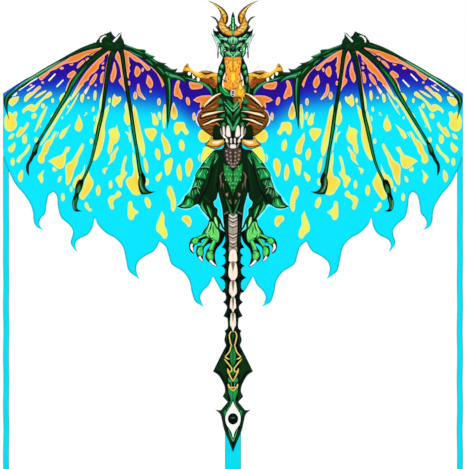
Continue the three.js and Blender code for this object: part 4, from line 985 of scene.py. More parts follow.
def head():
    ink(loop([(-1, 270, 1), (90, 290, 1), (90, 50, 1), (-1, 50, 1)]), BLACK)
    # Pale frill behind the cheek
    ink(loop([(64, 176, 1), (56, 160), (50, 144), (46, 122), (44, 104, 1), (45, 122), (36, 120), (40, 146),
              (46, 160)]), srgb(240, 246, 244), srgb(214, 230, 224))
    lines(srgb(20, 30, 24),
          [([(66, 179), (57, 158), (51, 140), (46, 106)], [2, 4, 3, 2]),
           ([(48, 152), (44, 138), (44, 122)], [1, 3, 1])])
    # Horn of gold, ridged
    ink(loop([(76, 276, 1), (56, 267), (34, 253), (18, 234), (16, 216), (22, 203), (14, 195), (4, 186),
              (0, 172), (12, 170), (28, 176), (42, 192), (44, 212), (36, 226), (41, 246), (56, 263)]),
        srgb(236, 168, 48), srgb(96, 54, 4), soft=5)
    lines(srgb(255, 236, 150),
          [([(64, 270), (46, 258), (30, 240), (26, 226)], [1, 4, 5, 2]),
           ([(34, 208), (28, 196), (14, 182)], [4, 6, 3]), ([(40, 204), (36, 192), (28, 182)], [2, 4, 1])],
          rim=srgb(240, 180, 66))
    lines(srgb(112, 62, 10),
          [([(50, 265), (54, 256)], [1, 2]), ([(40, 257), (46, 248)], [1, 2]),
           ([(30, 249), (38, 240)], [1, 2]), ([(21, 238), (33, 231)], [1, 2]),
           ([(16, 226), (31, 222)], [1, 2]), ([(24, 206), (40, 214)], [2, 1]),
           ([(20, 198), (40, 204)], [1, 2]), ([(14, 193), (38, 190)], [1, 2]),
           ([(8, 187), (30, 179)], [1, 2]), ([(42, 210), (34, 216)], [2, 1])])
    lines(UMBER,
          [([(20, 232), (18, 218), (24, 204)], [1, 7, 2]), ([(30, 236), (30, 216), (22, 204)], [1, 2.5, 2]),
           ([(36, 228), (30, 222), (26, 212)], [2, 2, 1]), ([(46, 200), (34, 182), (16, 172)], [3, 4, 1]),
           ([(24, 198), (12, 190), (4, 178)], [1, 2, 1]), ([(46, 254), (36, 240)], [1, 2]),
           ([(60, 266), (46, 252)], [1, 2])])
    lines(srgb(150, 120, 100), [([(38, 190), (28, 178)], [2, 3])])
    # Small horns and frills at the side
    lines(srgb(110, 140, 110), [([(62, 228), (54, 220), (50, 206), (48, 194)], [1, 3, 4, 2])])
    lines(WHITE, [([(52, 192), (46, 186)], [3, 2])])
    ear = srgb(150, 246, 196)
    lines(ear,
          [([(56, 178), (46, 168), (34, 158)], [3, 7, 8]), ([(54, 168), (46, 158), (38, 148)], [4, 9, 6]),
           ([(42, 176), (34, 168), (26, 160)], [2, 6, 8]), ([(26, 164), (20, 158), (12, 152)], [8, 12, 6])],
          rim=srgb(40, 150, 90))
    lines(BLACK,
          [([(58, 182), (46, 166), (34, 156)], [2, 3, 3]), ([(34, 160), (33, 148), (36, 136)], [4, 4, 2])])
    # Brow, muzzle and jaw
    ink(loop([(40, 150, 1), (42, 138), (38, 126), (34, 112), (26, 102), (14, 98), (-1, 96, 1), (-1, 168, 1),
              (10, 166), (22, 154), (30, 148)]), srgb(56, 130, 84), SHADE, soft=5)
    mint = srgb(136, 236, 176)
    lines(mint,
          [([(36, 136), (31, 124), (31, 110)], [8, 8, 5]), ([(26, 132), (16, 120), (6, 110)], [3, 6, 3]),
           ([(20, 146), (14, 136), (10, 130)], [3, 6, 2]), ([(0, 166), (6, 158), (4, 148)], [8, 9, 2]),
           ([(14, 118), (6, 108), (0, 104)], [2, 7, 8]), ([(6, 122), (2, 118), (0, 117)], [2, 4, 4]),
           ([(10, 164), (12, 156), (8, 150)], [3, 5, 1])], rim=srgb(60, 170, 110))
    lines(srgb(206, 200, 160),
          [([(27, 150), (22, 144), (18, 138)], [1, 3, 1]), ([(3, 150), (1, 142), (0, 136)], [1, 2, 2])])
    lines(BLACK,
          [([(30, 132), (22, 136), (16, 128), (6, 114)], [2, 5, 3, 2]),
           ([(24, 158), (16, 148), (6, 142), (0, 146)], [3, 4, 3, 3]),
           ([(26, 118), (25, 108), (20, 102)], [4, 4, 2]), ([(10, 112), (6, 106), (2, 104)], [3, 5, 2]),
           ([(8, 140), (6, 130), (0, 122)], [2, 4, 3]), ([(22, 112), (14, 106)], [4, 2]),
           ([(12, 168), (16, 158), (14, 150)], [2, 3, 1]), ([(10, 126), (4, 116), (0, 113)], [1, 3, 3])])
    lines(BLACK,
          [([(58, 184), (50, 174), (42, 166), (26, 166), (14, 170)], [1, 3, 3, 2, 2]),
           ([(44, 150), (38, 136), (36, 120), (30, 104)], [2, 3, 3, 2]),
           ([(28, 150), (18, 150), (10, 144)], [2, 3, 2]), ([(33, 128), (28, 116), (27, 106)], [1, 3, 2]),
           ([(18, 116), (10, 106), (0, 99)], [2, 3, 3]), ([(20, 138), (12, 132), (4, 122)], [2, 3, 2]),
           ([(9, 158), (6, 150), (8, 142)], [1, 2, 1]), ([(0, 140), (4, 132), (0, 124)], [2, 2, 2])])
    lines(mint,
          [([(34, 144), (30, 138), (26, 130)], [2, 4, 2]), ([(14, 126), (8, 116), (2, 112)], [1, 4, 4])],
          rim=srgb(60, 170, 110))
    ink(oval(23, 125, 13, 12, 30), BLACK)
    ink(oval(24, 126, 4, 4, corners=10), WHITE)
    lines(srgb(110, 214, 160), [([(20, 122), (19, 118)], [3, 1])])
    # Crest down the middle of the skull
    lines(srgb(70, 200, 120), [([(0, 226), (0, 200), (0, 176)], [8, 8, 7])], rim=srgb(14, 100, 50))
    lines(srgb(130, 240, 160), [([(0, 206), (0, 190)], [4, 5])])
    for z in (218, 210, 196, 186):
        lines(SHADE, [([(6, z + 2), (0, z)], [1, 2])])
    lines(srgb(190, 190, 170), [([(9, 200), (6, 190)], [3, 1]), ([(7, 184), (5, 178)], [3, 1])])
    # The throat begins below the jaw
    throat(106)
    lines(srgb(190, 130, 50), [([(27, 104), (16, 98), (0, 95)], [2, 3, 3])])
    collar_scales()


def printed(*parts):
    """The inks of these parts, from the bottom up."""
    inks.clear()
    for part in parts:
        part()
    return list(inks)


# ------------------------------------------------------------------ outlines of the sail
NECK = 58.0
TAIL = -601.0
ARM_EDGE = [
    (46, 58, 1), (60, 61), (64, 64, 1), (70, 75), (73, 85), (69, 96, 1), (77, 86), (81, 76), (83, 66, 1),
    (92, 66), (103, 61), (116, 65), (127, 74), (136, 88, 1), (144, 81), (149, 71), (152, 61, 1),
    (172, 61, 1), (165, 73, 1), (176, 70), (187, 72), (197, 79), (206, 84, 1), (199, 88, 1), (214, 90),
    (228, 95), (240, 103, 1), (233, 108, 1), (246, 113), (263, 121, 1), (261, 127, 1), (270, 130),
    (285, 131), (300, 136), (315, 141), (326, 146, 1), (328, 156), (334, 166), (334, 181, 1), (343, 177),
    (352, 166, 1), (360, 173), (366, 184, 1), (379, 180), (393, 174), (403, 163), (413, 151, 1),
    (450, 137), (480, 122), (510, 105), (540, 88), (570, 71), (600, 52), (630, 36), (690, -3, 1),
]
FLAME_EDGE = [
    (690, -190, 1), (683, -212), (672, -237), (660, -262), (645, -285), (628, -304), (608, -335),
    (600, -360), (598, -385), (589, -403), (570, -413, 1), (581, -394), (575, -376), (563, -362),
    (559, -335), (552, -308), (538, -298, 1), (528, -312), (525, -342), (516, -374), (492, -396),
    (480, -415), (483, -434), (487, -450), (478, -468), (467, -478, 1), (473, -456), (463, -440),
    (436, -426), (421, -404), (415, -375, 1), (404, -398), (380, -422), (352, -438), (330, -464),
    (321, -500), (312, -535), (281, -560, 1), (290, -532), (284, -508), (262, -490), (236, -475),
    (220, -447, 1), (202, -463), (193, -490), (183, -516), (150, -538), (131, -565), (124, -598),
    (113, -627), (88, -643, 1), (98, -616), (90, -596), (72, -577), (60, -552, 1), (46, -577, 1),
    (34, -597), (25, -601, 1),
]
HEAD_EDGE = [
    (46, 58, 1), (43, 76), (36, 91), (31, 105, 1), (42, 122, 1), (44, 102, 1), (47, 103, 1), (48, 128),
    (53, 150), (67, 179, 1), (57, 170, 1), (61, 194, 1), (54, 185), (45, 184, 1), (53, 198, 1), (47, 204),
    (53, 217), (68, 229, 1), (54, 226), (43, 213, 1), (37, 228), (43, 248), (58, 264), (78, 277, 1),
    (50, 266), (28, 251), (15, 232), (15, 213), (22, 203, 1), (15, 197, 1), (7, 207, 1), (5, 228),
    (0, 244, 1),
]
TAIL_EDGE = [
    (25, -601, 1), (21, -613), (23, -622), (30, -629, 1), (20, -639), (19, -650), (29, -671, 1),
    (17, -677, 1), (16, -705), (26, -715, 1), (22, -723), (26, -742), (21, -759, 1), (31, -778), (46, -808),
    (60, -837, 1), (44, -848), (32, -867), (25, -884), (24, -898, 1), (31, -912, 1), (16, -928, 1),
    (29, -944), (38, -953), (53, -951, 1), (38, -966), (33, -985), (26, -1014), (12, -1047), (0, -1079, 1),
]
EYELET_HOLE = 5.2


def edge_line(points, step=3.0):
    """An open line with corners, in the order given."""
    marks = [i for i, q in enumerate(points) if len(q) > 2]
    parts = [run(points[a:b + 1], step) for a, b in zip(marks, marks[1:])]
    return np.concatenate([parts[0]] + [p[1:] for p in parts[1:]])


def hole_side():
    """The half of the eyelet's hole that a half sail is cut round, from the bottom to the top."""
    a = np.linspace(-90, 90, 13) * math.pi / 180
    return EYELET_HOLE * np.stack([np.cos(a), np.sin(a)], 1)


top_edge = edge_line(ARM_EDGE)
low_edge = edge_line(FLAME_EDGE)
head_edge = edge_line(HEAD_EDGE)
tail_edge = edge_line(TAIL_EDGE)


sail_outline = np.concatenate([
    top_edge, straight((690, -3), (690, -190))[1:-1], low_edge, straight((25, TAIL), (0, TAIL))[1:],
    straight((0, TAIL), (0, -EYELET_HOLE))[1:-1], hole_side(),
    straight((0, EYELET_HOLE), (0, NECK))[1:-1], straight((0, NECK), (46, NECK))[:-1],
])
head_outline = np.concatenate(
    [head_edge, straight((0, 244), (0, NECK))[1:], straight((0, NECK), (46, NECK))[1:-1]])
tail_outline = np.concatenate(
    [tail_edge, straight((0, -1079), (0, TAIL))[1:], straight((0, TAIL), (25, TAIL))[1:-1]])

# ------------------------------------------------------------------ depth of the cloth
WRIST = (385, 152)
TIP = (668, -8)
CLIP = (90, 2.5)
SPAR_Z = -10.0
KEEPERS = (250, 455)
SPINE_REACH = 26  # the cloth is still this near the spine
HELD = [
    # It is also still near these lines: one end, the other end, and how near
    (WRIST, TIP, 14), (WRIST, CLIP, 14), ((672, -20), (692, -40), 10), ((14, -605), (14, -560), 16),
    *(((d, SPAR_Z - 16), (d, SPAR_Z + 16), 14) for d in KEEPERS),
]


def line_distance(points, a, b):
    """How far each point is from the line between a and b."""
    a, b = np.array(a, float), np.array(b, float)
    ab = b - a
    t = np.clip(((points - a) @ ab) / (ab @ ab), 0, 1)
    return np.linalg.norm(points - (a + t[:, None] * ab), axis=1)


def ease(t):
    """A soft step from 0 to 1."""
    t = np.clip(t, 0, 1)
    return t * t * (3 - 2 * t)


def billow(points):
    """How far back the cloth stands, in millimetres: still where it is sewn to the frame, softly curved
    between the rods, and rippling towards its free lower edge."""
    p = np.stack([np.abs(points[:, 0]), points[:, 1]], 1)
    d, z = p.T
    clear = np.minimum.reduce([d - SPINE_REACH] + [line_distance(p, a, b) - near for a, b, near in HELD])
    free = ease(clear / 130)
    belly = -2.6 * free * np.sin(math.pi * np.clip((d - 30) / 640, 0, 1))
    fan = 0.55 * free * np.sin(np.arctan2(d - WRIST[0], WRIST[1] + 30 - z) * 11)
    low = ease((-150 - z) / 330) * free
    ripple = low * (1.5 * np.sin(d / 31 + 0.6) + 0.9 * np.sin(d / 17 + z / 60) - 0.6)
    crease = 0.22 * free * np.sin(d / 9 + z / 13) * np.sin(z / 41 + d / 57)
    return belly + fan + ripple + crease


def still(points):
    return np.zeros(len(points))


# ------------------------------------------------------------------ building cloth
CLOTH_HALF = 0.15  # half the cloth's thickness
HEM = 4.2  # width of the folded edge
HEM_HALF = 0.25
WORN = 7.0  # the cloth is worn this far in from its edge
POINT_GAP = 1.2  # the cloth's own grid keeps this clear of the print's points
NO_AREA = 1e-4
BACK_PRINT = 0.86  # strength of the print on the back
BACK_WASH = srgb(214, 236, 240) * 0.07


def new_object(name, verts, faces, smooth=True):
    mesh = bpy.data.meshes.new(name)
    mesh.from_pydata([tuple(v) for v in verts], [], [tuple(int(i) for i in f) for f in faces])
    mesh.update()
    if smooth:
        mesh.polygons.foreach_set("use_smooth", np.ones(len(mesh.polygons), bool))
    return placed(name, mesh)


def cut_cloth(outline, layers, grid=4.0):
    """Cuts the outline into triangles that follow every ink, and returns points, triangles and inks."""
    verts, edges = [], []

    def add_loop(shape):
        first, n = len(verts), len(shape)
        verts.extend(shape)
        edges.extend((first + i, first + (i + 1) % n) for i in range(n))

    low, high = outline.min(0), outline.max(0)
    add_loop(outline)
    used = [x for x in layers if (x[0].max(0) > low).all() and (x[0].min(0) < high).all()]
    for shape, _, _, _, core in used:
        add_loop(shape)
        if core is not None and len(core):
            verts.extend(core[inside(outline, core)])
    xs, zs = np.arange(low[0] + grid / 2, high[0], grid), np.arange(low[1] + grid / 2, high[1], grid)
    fill = np.array([(x + (grid / 2 if k % 2 else 0), z) for k, z in enumerate(zs) for x in xs])
    fill = fill[inside(outline, fill)]
    near = np.array(verts)
    cells = {(int(x // POINT_GAP), int(z // POINT_GAP)) for x, z in near}
    fill = [(x, z) for x, z in fill if (int(x // POINT_GAP), int(z // POINT_GAP)) not in cells]
    verts.extend(fill)
    found, _, faces, *_ = delaunay_2d_cdt([Vector(v) for v in verts], edges, [], 0, 0.01, False)
    points = np.array([tuple(v) for v in found])
    faces = np.array([f for f in faces if len(f) == 3])
    middles = points[faces].mean(1)
    keep = inside(outline, middles)
    faces, middles = faces[keep], middles[keep]
    a, b, c = (points[faces[:, i]] for i in range(3))
    turn = (b - a)[:, 0] * (c - a)[:, 1] - (b - a)[:, 1] * (c - a)[:, 0]
    faces[turn < 0] = faces[turn < 0][:, ::-1]
    faces, middles = faces[np.abs(turn) > NO_AREA], middles[np.abs(turn) > NO_AREA]
    top = np.full(len(faces), -1)
    for k, layer in enumerate(used):
        top[inside(layer[0], middles)] = k
    used_points, faces = np.unique(faces, return_inverse=True)
    return points[used_points], faces.reshape(-1, 3), top, used


def without(layers, top, used, middles):
    """The topmost inks again, leaving these layers out."""
    top = top.copy()
    for k, layer in enumerate(used):
        if any(layer is other for other in layers):
            top[top == k] = -1
    bare = top == -1
    for k, layer in enumerate(used):
        if not any(layer is other for other in layers):
            hit = np.flatnonzero(bare)[inside(layer[0], middles[bare])]
            top[hit] = k
    return top


def corner_colours(points, faces, top, used, ground):
    """A colour for each corner of each triangle."""
    corners = points[faces]
    colours = ground(corners.reshape(-1, 2)).reshape(-1, 3, 3)
    for k in np.unique(top[top >= 0]):
        shape, middle, rim, soft, _ = used[k]
        mine = top == k
        spots = corners[mine].reshape(-1, 2)
        if middle is rim:
            colours[mine] = middle(spots).reshape(-1, 3, 3)
            continue
        depth = ease(edge_distance(shape, spots) / soft)[:, None]
        colours[mine] = (rim(spots) * (1 - depth) + middle(spots) * depth).reshape(-1, 3, 3)
    return colours


def whole(points, faces, colours):
    """Joins a half that lies beside the spine to its mirror image."""
    on_line = np.abs(points[:, 0]) < 1e-3
    twin = np.arange(len(points))
    twin[~on_line] = len(points) + np.arange((~on_line).sum())
    points = np.concatenate([points, points[~on_line] * (-1, 1)])
    faces = np.concatenate([faces, twin[faces][:, ::-1]])
    return points, faces, np.concatenate([colours, colours[:, ::-1]])


def open_sides(faces):
    """The sides that only one of a sheet's triangles has, as their first and second points."""
    sides = np.concatenate([faces[:, [0, 1]], faces[:, [1, 2]], faces[:, [2, 0]]])
    _, first, counts = np.unique(np.sort(sides, axis=1), axis=0, return_index=True, return_counts=True)
    return sides[first[counts == 1]].T


def print_on(mesh, tints, flat, wear):
    """Gives the mesh a colour at each corner, and each point's place in the flat cloth and its wear."""
    tints = np.concatenate([tints, np.ones((len(tints), 1))], 1)
    mesh.color_attributes.new("Print", "FLOAT_COLOR", "CORNER").data.foreach_set("color", tints.ravel())
    mesh.uv_layers.new(name="Grain").data.foreach_set("uv", flat[corner_points(mesh)].ravel())
    mesh.attributes.new("Wear", "FLOAT", "POINT").data.foreach_set("value", wear)


def corner_points(mesh):
    """The point that each face corner of the mesh stands on."""
    index = np.empty(len(mesh.loops), int)
    mesh.loops.foreach_get("vertex_index", index)
    return index


def sew_cloth(name, points, faces, colours, depth, edge_reach):
    """A thin closed sheet from triangles in the plane of the sail, printed on its front. edge_reach is
    each point's distance from the hemmed edge, where the cloth is folded over."""
    n = len(points)
    back = depth(points)
    half = np.where(edge_reach < HEM, HEM_HALF, CLOTH_HALF)
    place = lambda offset: np.stack([points[:, 0], back + offset, points[:, 1]], 1) * MM
    verts = np.concatenate([place(-half), place(half)])
    a, b = open_sides(faces)
    walls = np.stack([a, a + n, b + n, b], 1)
    all_faces = faces.tolist() + (faces[:, ::-1] + n).tolist() + walls.tolist()
    obj = new_object(name, verts, all_faces)
    obj.data.polygons.foreach_set("use_smooth", np.arange(len(all_faces)) < 2 * len(faces))
    backs = colours[:, ::-1] * BACK_PRINT + BACK_WASH
    near = np.zeros((n, 3))
    near[faces.ravel()] = colours.reshape(-1, 3)
    wall_colours = near[np.stack([a, a, b, b], 1).ravel()]
    tints = np.concatenate([colours.reshape(-1, 3), backs.reshape(-1, 3), wall_colours])
    wear = 1 - np.clip(edge_reach / WORN, 0, 1)
    print_on(obj.data, tints, np.tile(points * MM, (2, 1)), np.tile(wear, 2))
    return obj


# ------------------------------------------------------------------ materials
class Look:
    """A node material: call it to add nodes, then link them to its shader."""

    def __init__(self, name, slot, **sockets):
        self.slot = slot
        self.material = bpy.data.materials.new(name)
        self.material.use_nodes = True
        self.tree = self.material.node_tree
        self.shader = self.tree.nodes["Principled BSDF"]
        for key, value in sockets.items():
            self.shader.inputs[key.replace("_", " ")].default_value = value

    def __call__(self, kind, inputs=None, **settings):
        node = self.tree.nodes.new("ShaderNode" + kind)
        for key, value in settings.items():
            setattr(node, key, value)
        for key, value in (inputs or {}).items():
            socket = node.inputs[key]
            if isinstance(value, bpy.types.NodeSocket):
                self.tree.links.new(value, socket)
            else:
                socket.default_value = value
        return node

    def math(self, operation, *values):
        return self("Math", dict(enumerate(values)), operation=operation).outputs[0]

    def mix(self, amount, a, b, blend="MIX"):
        node = self("Mix", data_type="RGBA", blend_type=blend)
        for socket, value in ((0, amount), (6, a), (7, b)):
            if isinstance(value, bpy.types.NodeSocket):
                self.tree.links.new(value, node.inputs[socket])
            else:
                node.inputs[socket].default_value = value
        return node.outputs[2]

    def span(self, value, low, high):
        """Stretches 0..1 to low..high."""
        return self("MapRange", {"Value": value, "To Min": low, "To Max": high}).outputs[0]

    def noise(self, vector, scale, detail=2.0, rough=0.5):
        inputs = {"Vector": vector, "Scale": scale, "Detail": detail, "Roughness": rough}
        return self("TexNoise", inputs).outputs["Fac"]

    def waves(self, vector, period, direction):
        """Bands that repeat each period, in metres."""
        scale = math.tau / 20 / period
        node = self("TexWave", {"Vector": vector, "Scale": scale}, bands_direction=direction)
        return node.outputs["Fac"]

    def stretched(self, vector, x, y, z):
        return self("Mapping", {"Vector": vector, "Scale": (x, y, z)}).outputs[0]

    def rotated(self, vector, angle):
        return self("VectorRotate", {"Vector": vector, "Angle": angle}, rotation_type="Y_AXIS").outputs[0]

    def finish(self, color=None, rough=None, height=None, bump=0.3, distance=0.0002):
        links = self.tree.links
        if color is not None:
            links.new(color, self.shader.inputs["Base Color"])
        if rough is not None:
            links.new(rough, self.shader.inputs["Roughness"])
        if height is not None:
            node = self("Bump", {"Height": height, "Strength": bump, "Distance": distance})
            links.new(node.outputs[0], self.shader.inputs["Normal"])
        return self


def paint(colour, alpha=1.0):
    return (*[float(c) for c in colour], alpha)


def grain_of(look):
    return look("UVMap", uv_map="Grain").outputs[0]


def solid_of(look):
    return look("TexCoord").outputs["Object"]


def ripstop(name, slot):
    """Thin printed nylon: a fine weave with a thicker thread every 5 mm both ways."""
    look = Look(name, slot, Specular_IOR_Level=0.05, Sheen_Weight=0.02, Sheen_Roughness=0.4)
    grain = grain_of(look)
    printed_colour = look("Attribute", attribute_name="Print").outputs["Color"]
    wear = look("Attribute", attribute_name="Wear").outputs["Fac"]
    thick = look.math("MAXIMUM", look.math("POWER", look.waves(grain, 0.005, "X"), 26.0),
                      look.math("POWER", look.waves(grain, 0.005, "Y"), 26.0))
    fine = look.math("MULTIPLY", look.waves(grain, 0.0007, "X"), look.waves(grain, 0.0007, "Y"))
    mottle = look.noise(grain, 26.0, 4.0, 0.55)
    crinkle = look.noise(look.stretched(grain, 1.0, 2.2, 1.0), 70.0, 3.0)
    tone = look.mix(look.math("MULTIPLY", thick, 0.13), printed_colour, (0, 0.005, 0.02, 1))
    tone = look.mix(look.span(mottle, 0.0, 0.2), tone, (0.78, 0.84, 0.88, 1), "MULTIPLY")
    tone = look.mix(look.math("MULTIPLY", wear, look.span(mottle, 0.02, 0.1)), tone, (0.04, 0.2, 0.22, 1))
    # The hem's running stitch, 3 mm inside the edge
    dashes = look.math("MULTIPLY", look.waves(grain, 0.004, "X"), look.waves(grain, 0.004, "Y"))
    row = look.math("COMPARE", wear, 0.571, 0.035)
    stitch = look.math("MULTIPLY", row, look.math("GREATER_THAN", dashes, 0.14))
    tone = look.mix(look.math("MULTIPLY", stitch, 0.6), tone, (0.0, 0.1, 0.13, 1))
    rough = look.math("ADD", look.span(mottle, 0.56, 0.7), look.math("MULTIPLY", wear, 0.1))
    height = look.math("ADD", look.math("MULTIPLY", thick, 0.7), look.math("MULTIPLY", fine, 0.35))
    height = look.math("ADD", height, look.math("MULTIPLY", crinkle, 0.9))
    height = look.math("ADD", height, look.math("MULTIPLY", stitch, 1.2))
    return look.finish(tone, rough, height, bump=0.22, distance=0.00016)


def tape_look():
    """Black woven polyester tape, with a fine diagonal rib."""
    look = Look("woven_tape", "black_tape", Specular_IOR_Level=0.3, Sheen_Weight=0.25)
    place = solid_of(look)
    across = look.rotated(place, math.radians(45))
    rib = look.math("MULTIPLY", look.waves(across, 0.0011, "X"), look.waves(across, 0.0011, "Z"))
    mottle = look.noise(place, 60.0, 4.0)
    fluff = look.noise(place, 900.0, 2.0)
    tone = look.mix(look.span(rib, 0.0, 1.0), (0.006, 0.007, 0.009, 1), (0.028, 0.03, 0.034, 1))
    tone = look.mix(look.math("MULTIPLY", mottle, 0.12), tone, (0.09, 0.09, 0.1, 1))
    rough = look.span(mottle, 0.72, 0.92)
    height = look.math("ADD", rib, look.math("MULTIPLY", fluff, 0.4))
    return look.finish(tone, rough, height, bump=0.5, distance=0.00015)


def rod_look():
    """Pultruded glass fibre: dark, with long fibres under a thin resin skin."""
    look = Look("glass_fibre", "glass_fibre", Coat_Weight=0.35, Coat_Roughness=0.18)
    grain = grain_of(look)
    fibres = look.noise(look.stretched(grain, 2600.0, 22.0, 1.0), 1.0, 3.0)
    cloud = look.noise(grain, 40.0, 3.0)
    tone = look.mix(fibres, (0.006, 0.007, 0.008, 1), (0.05, 0.052, 0.054, 1))
    tone = look.mix(look.math("MULTIPLY", cloud, 0.15), tone, (0.1, 0.1, 0.09, 1))
    return look.finish(tone, look.span(fibres, 0.28, 0.5), fibres, bump=0.25, distance=0.00005)


def vinyl_look():
    look = Look("soft_vinyl", "black_vinyl", Specular_IOR_Level=0.45)
    place = solid_of(look)
    cloud, pores = look.noise(place, 55.0, 4.0), look.noise(place, 2400.0, 2.0)
    scuffs = look.math("POWER", look.noise(look.stretched(place, 1.0, 1.0, 7.0), 160.0, 5.0), 5.0)
    tone = look.mix(cloud, (0.008, 0.008, 0.009, 1), (0.022, 0.022, 0.024, 1))
    tone = look.mix(scuffs, tone, (0.12, 0.12, 0.12, 1))
    return look.finish(tone, look.span(cloud, 0.38, 0.58), pores, bump=0.12, distance=0.00005)


def moulded_look():
    look = Look("moulded_nylon", "moulded_plastic", Specular_IOR_Level=0.5)
    place = solid_of(look)
    cloud, pores = look.noise(place, 45.0, 4.0), look.noise(place, 3200.0, 3.0)
    scuffs = look.math("POWER", look.noise(look.stretched(place, 5.0, 1.0, 1.0), 190.0, 6.0), 6.0)
    tone = look.mix(cloud, (0.010, 0.011, 0.012, 1), (0.026, 0.027, 0.029, 1))
    tone = look.mix(scuffs, tone, (0.2, 0.2, 0.2, 1))
    return look.finish(tone, look.span(cloud, 0.42, 0.6), pores, bump=0.3, distance=0.00005)


def metal_look(name, slot, low, high, rough_low, rough_high, stretch):
    look = Look(name, slot, Metallic=1.0)
    grain = grain_of(look)
    brush_marks = look.noise(look.stretched(grain, *stretch), 1.0, 3.0)
    cloud = look.noise(grain, 90.0, 4.0)
    tone = look.mix(brush_marks, low, high)
    tone = look.mix(look.math("POWER", cloud, 4.0), tone, (0.3, 0.29, 0.27, 1))
    rough = look.span(cloud, rough_low, rough_high)
    return look.finish(tone, rough, brush_marks, bump=0.15, distance=0.00004)


def thread_look(name, slot, colour, dark):
    look = Look(name, slot, Specular_IOR_Level=0.3, Sheen_Weight=0.2)
    place = solid_of(look)
    twist = look.waves(look.rotated(place, 0.8), 0.0003, "X")
    fuzz = look.noise(place, 500.0, 3.0)
    tone = look.mix(look.math("MULTIPLY", twist, fuzz), paint(dark), paint(colour))
    return look.finish(tone, look.span(fuzz, 0.55, 0.8), twist, bump=0.4, distance=0.00005)


looks = {
    "sail": ripstop("printed_nylon", "printed_ripstop"),
    "ribbon": ripstop("streamer_nylon", "cyan_ripstop"),
    "tape": tape_look(),
    "rod": rod_look(),
    "vinyl": vinyl_look(),
    "moulded": moulded_look(),
    "alloy": metal_look("brushed_aluminium", "aluminium_tube", (0.5, 0.51, 0.53, 1), (0.72, 0.73, 0.75, 1),
                        0.28, 0.42, (30.0, 2600.0, 1.0)),
    "steel": metal_look("nickel_plate", "plated_steel", (0.66, 0.66, 0.65, 1), (0.82, 0.81, 0.79, 1),
                        0.14, 0.3, (400.0, 400.0, 1.0)),
    "thread": thread_look("black_thread", "black_tape", (0.02, 0.02, 0.022), (0.004, 0.004, 0.005)),
    "hem_thread": thread_look("teal_thread", "printed_ripstop", srgb(0, 150, 170), srgb(0, 90, 110)),
}


def dress(obj, look):
    obj.data.materials.clear()
    obj.data.materials.append(looks[look].material)
    return obj


def for_body(obj, body, *nodes):
    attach(obj, body)
    if nodes:
        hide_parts(*nodes)
    return obj


# ------------------------------------------------------------------ sail
def teal_hem(line, wide=13.0):
    """The folded edge, where two layers of cloth look deeper."""
    ink(band(line[::3], [wide, wide]), srgb(0, 180, 196), sky, soft=0.5 * wide, core=line[::3])


def hem_shade():
    teal_hem(low_edge)
    teal_hem(straight((690, -92), (690, -190), 9.0), 8.0)


BODY_PARTS = (torso, foot, tail, chest, shoulder_plate, belly)


def make_sail():
    layers = printed(wing_spots, hem_shade, wing_bones, wing_arms, *BODY_PARTS)
    flames = printed(fire)
    points, faces, top, used = cut_cloth(sail_outline, layers + flames)
    calm = without(flames, top, used, points[faces].mean(1))
    calm_colours = corner_colours(points, faces, calm, used, sky)[:, ::-1]
    fire_colours = corner_colours(points, faces, top, used, sky)
    reach = line_reach(np.concatenate([top_edge, low_edge]), points)
    for side, word in SIDES:
        mine = points * (side, 1)
        turned = faces if side > 0 else faces[:, ::-1]
        tinted = fire_colours if side > 0 else calm_colours
        sail = sew_cloth(f"sail_{word}", mine, turned, tinted, billow, reach)
        dress(sail, "sail")
        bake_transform(sail)
        nodes = [f"wing_panel_{word}"] + (["body_panel"] if side < 0 else [])
        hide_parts(*nodes)


def make_small_cloth(name, outline, layers, edge):
    points, faces, top, used = cut_cloth(outline, layers, 3.5)
    colours = corner_colours(points, faces, top, used, plain(BLACK))
    points, faces, colours = whole(points, faces, colours)
    reach = line_reach(edge, np.stack([np.abs(points[:, 0]), points[:, 1]], 1))
    return dress(sew_cloth(name, points, faces, colours, still, reach), "sail")


make_sail()
head_piece = make_small_cloth("sail_head", head_outline, printed(head, shoulder_plate), head_edge)
for_body(head_piece, "frame", "head_panel")
tail_piece = make_small_cloth("sail_tail", tail_outline, printed(tail), tail_edge)
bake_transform(tail_piece)
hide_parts("tail_panel")


# ------------------------------------------------------------------ pieces turned about a line
AXIS_Y = Vector((0, 1, 0))


def along_and_across(a, b):
    """Unit directions: along the line from a to b, and two across it."""
    along = (Vector(b) - Vector(a)).normalized()
    side = Vector((1, 0, 0)) if abs(along.y) > 0.9 else AXIS_Y.cross(along).normalized()
    return along, side, along.cross(side)


def grain_uv(mesh, corners):
    layer = mesh.uv_layers.new(name="Grain")
    layer.data.foreach_set("uv", (np.array(corners) * MM).ravel())


def inside_out(points, faces):
    """Whether the faces of a closed piece look inwards."""
    fans = np.array([(f[0], f[i], f[i + 1]) for f in faces for i in range(1, len(f) - 1)])
    a, b, c = points[fans.T]
    return float((a * np.cross(b, c)).sum()) < 0


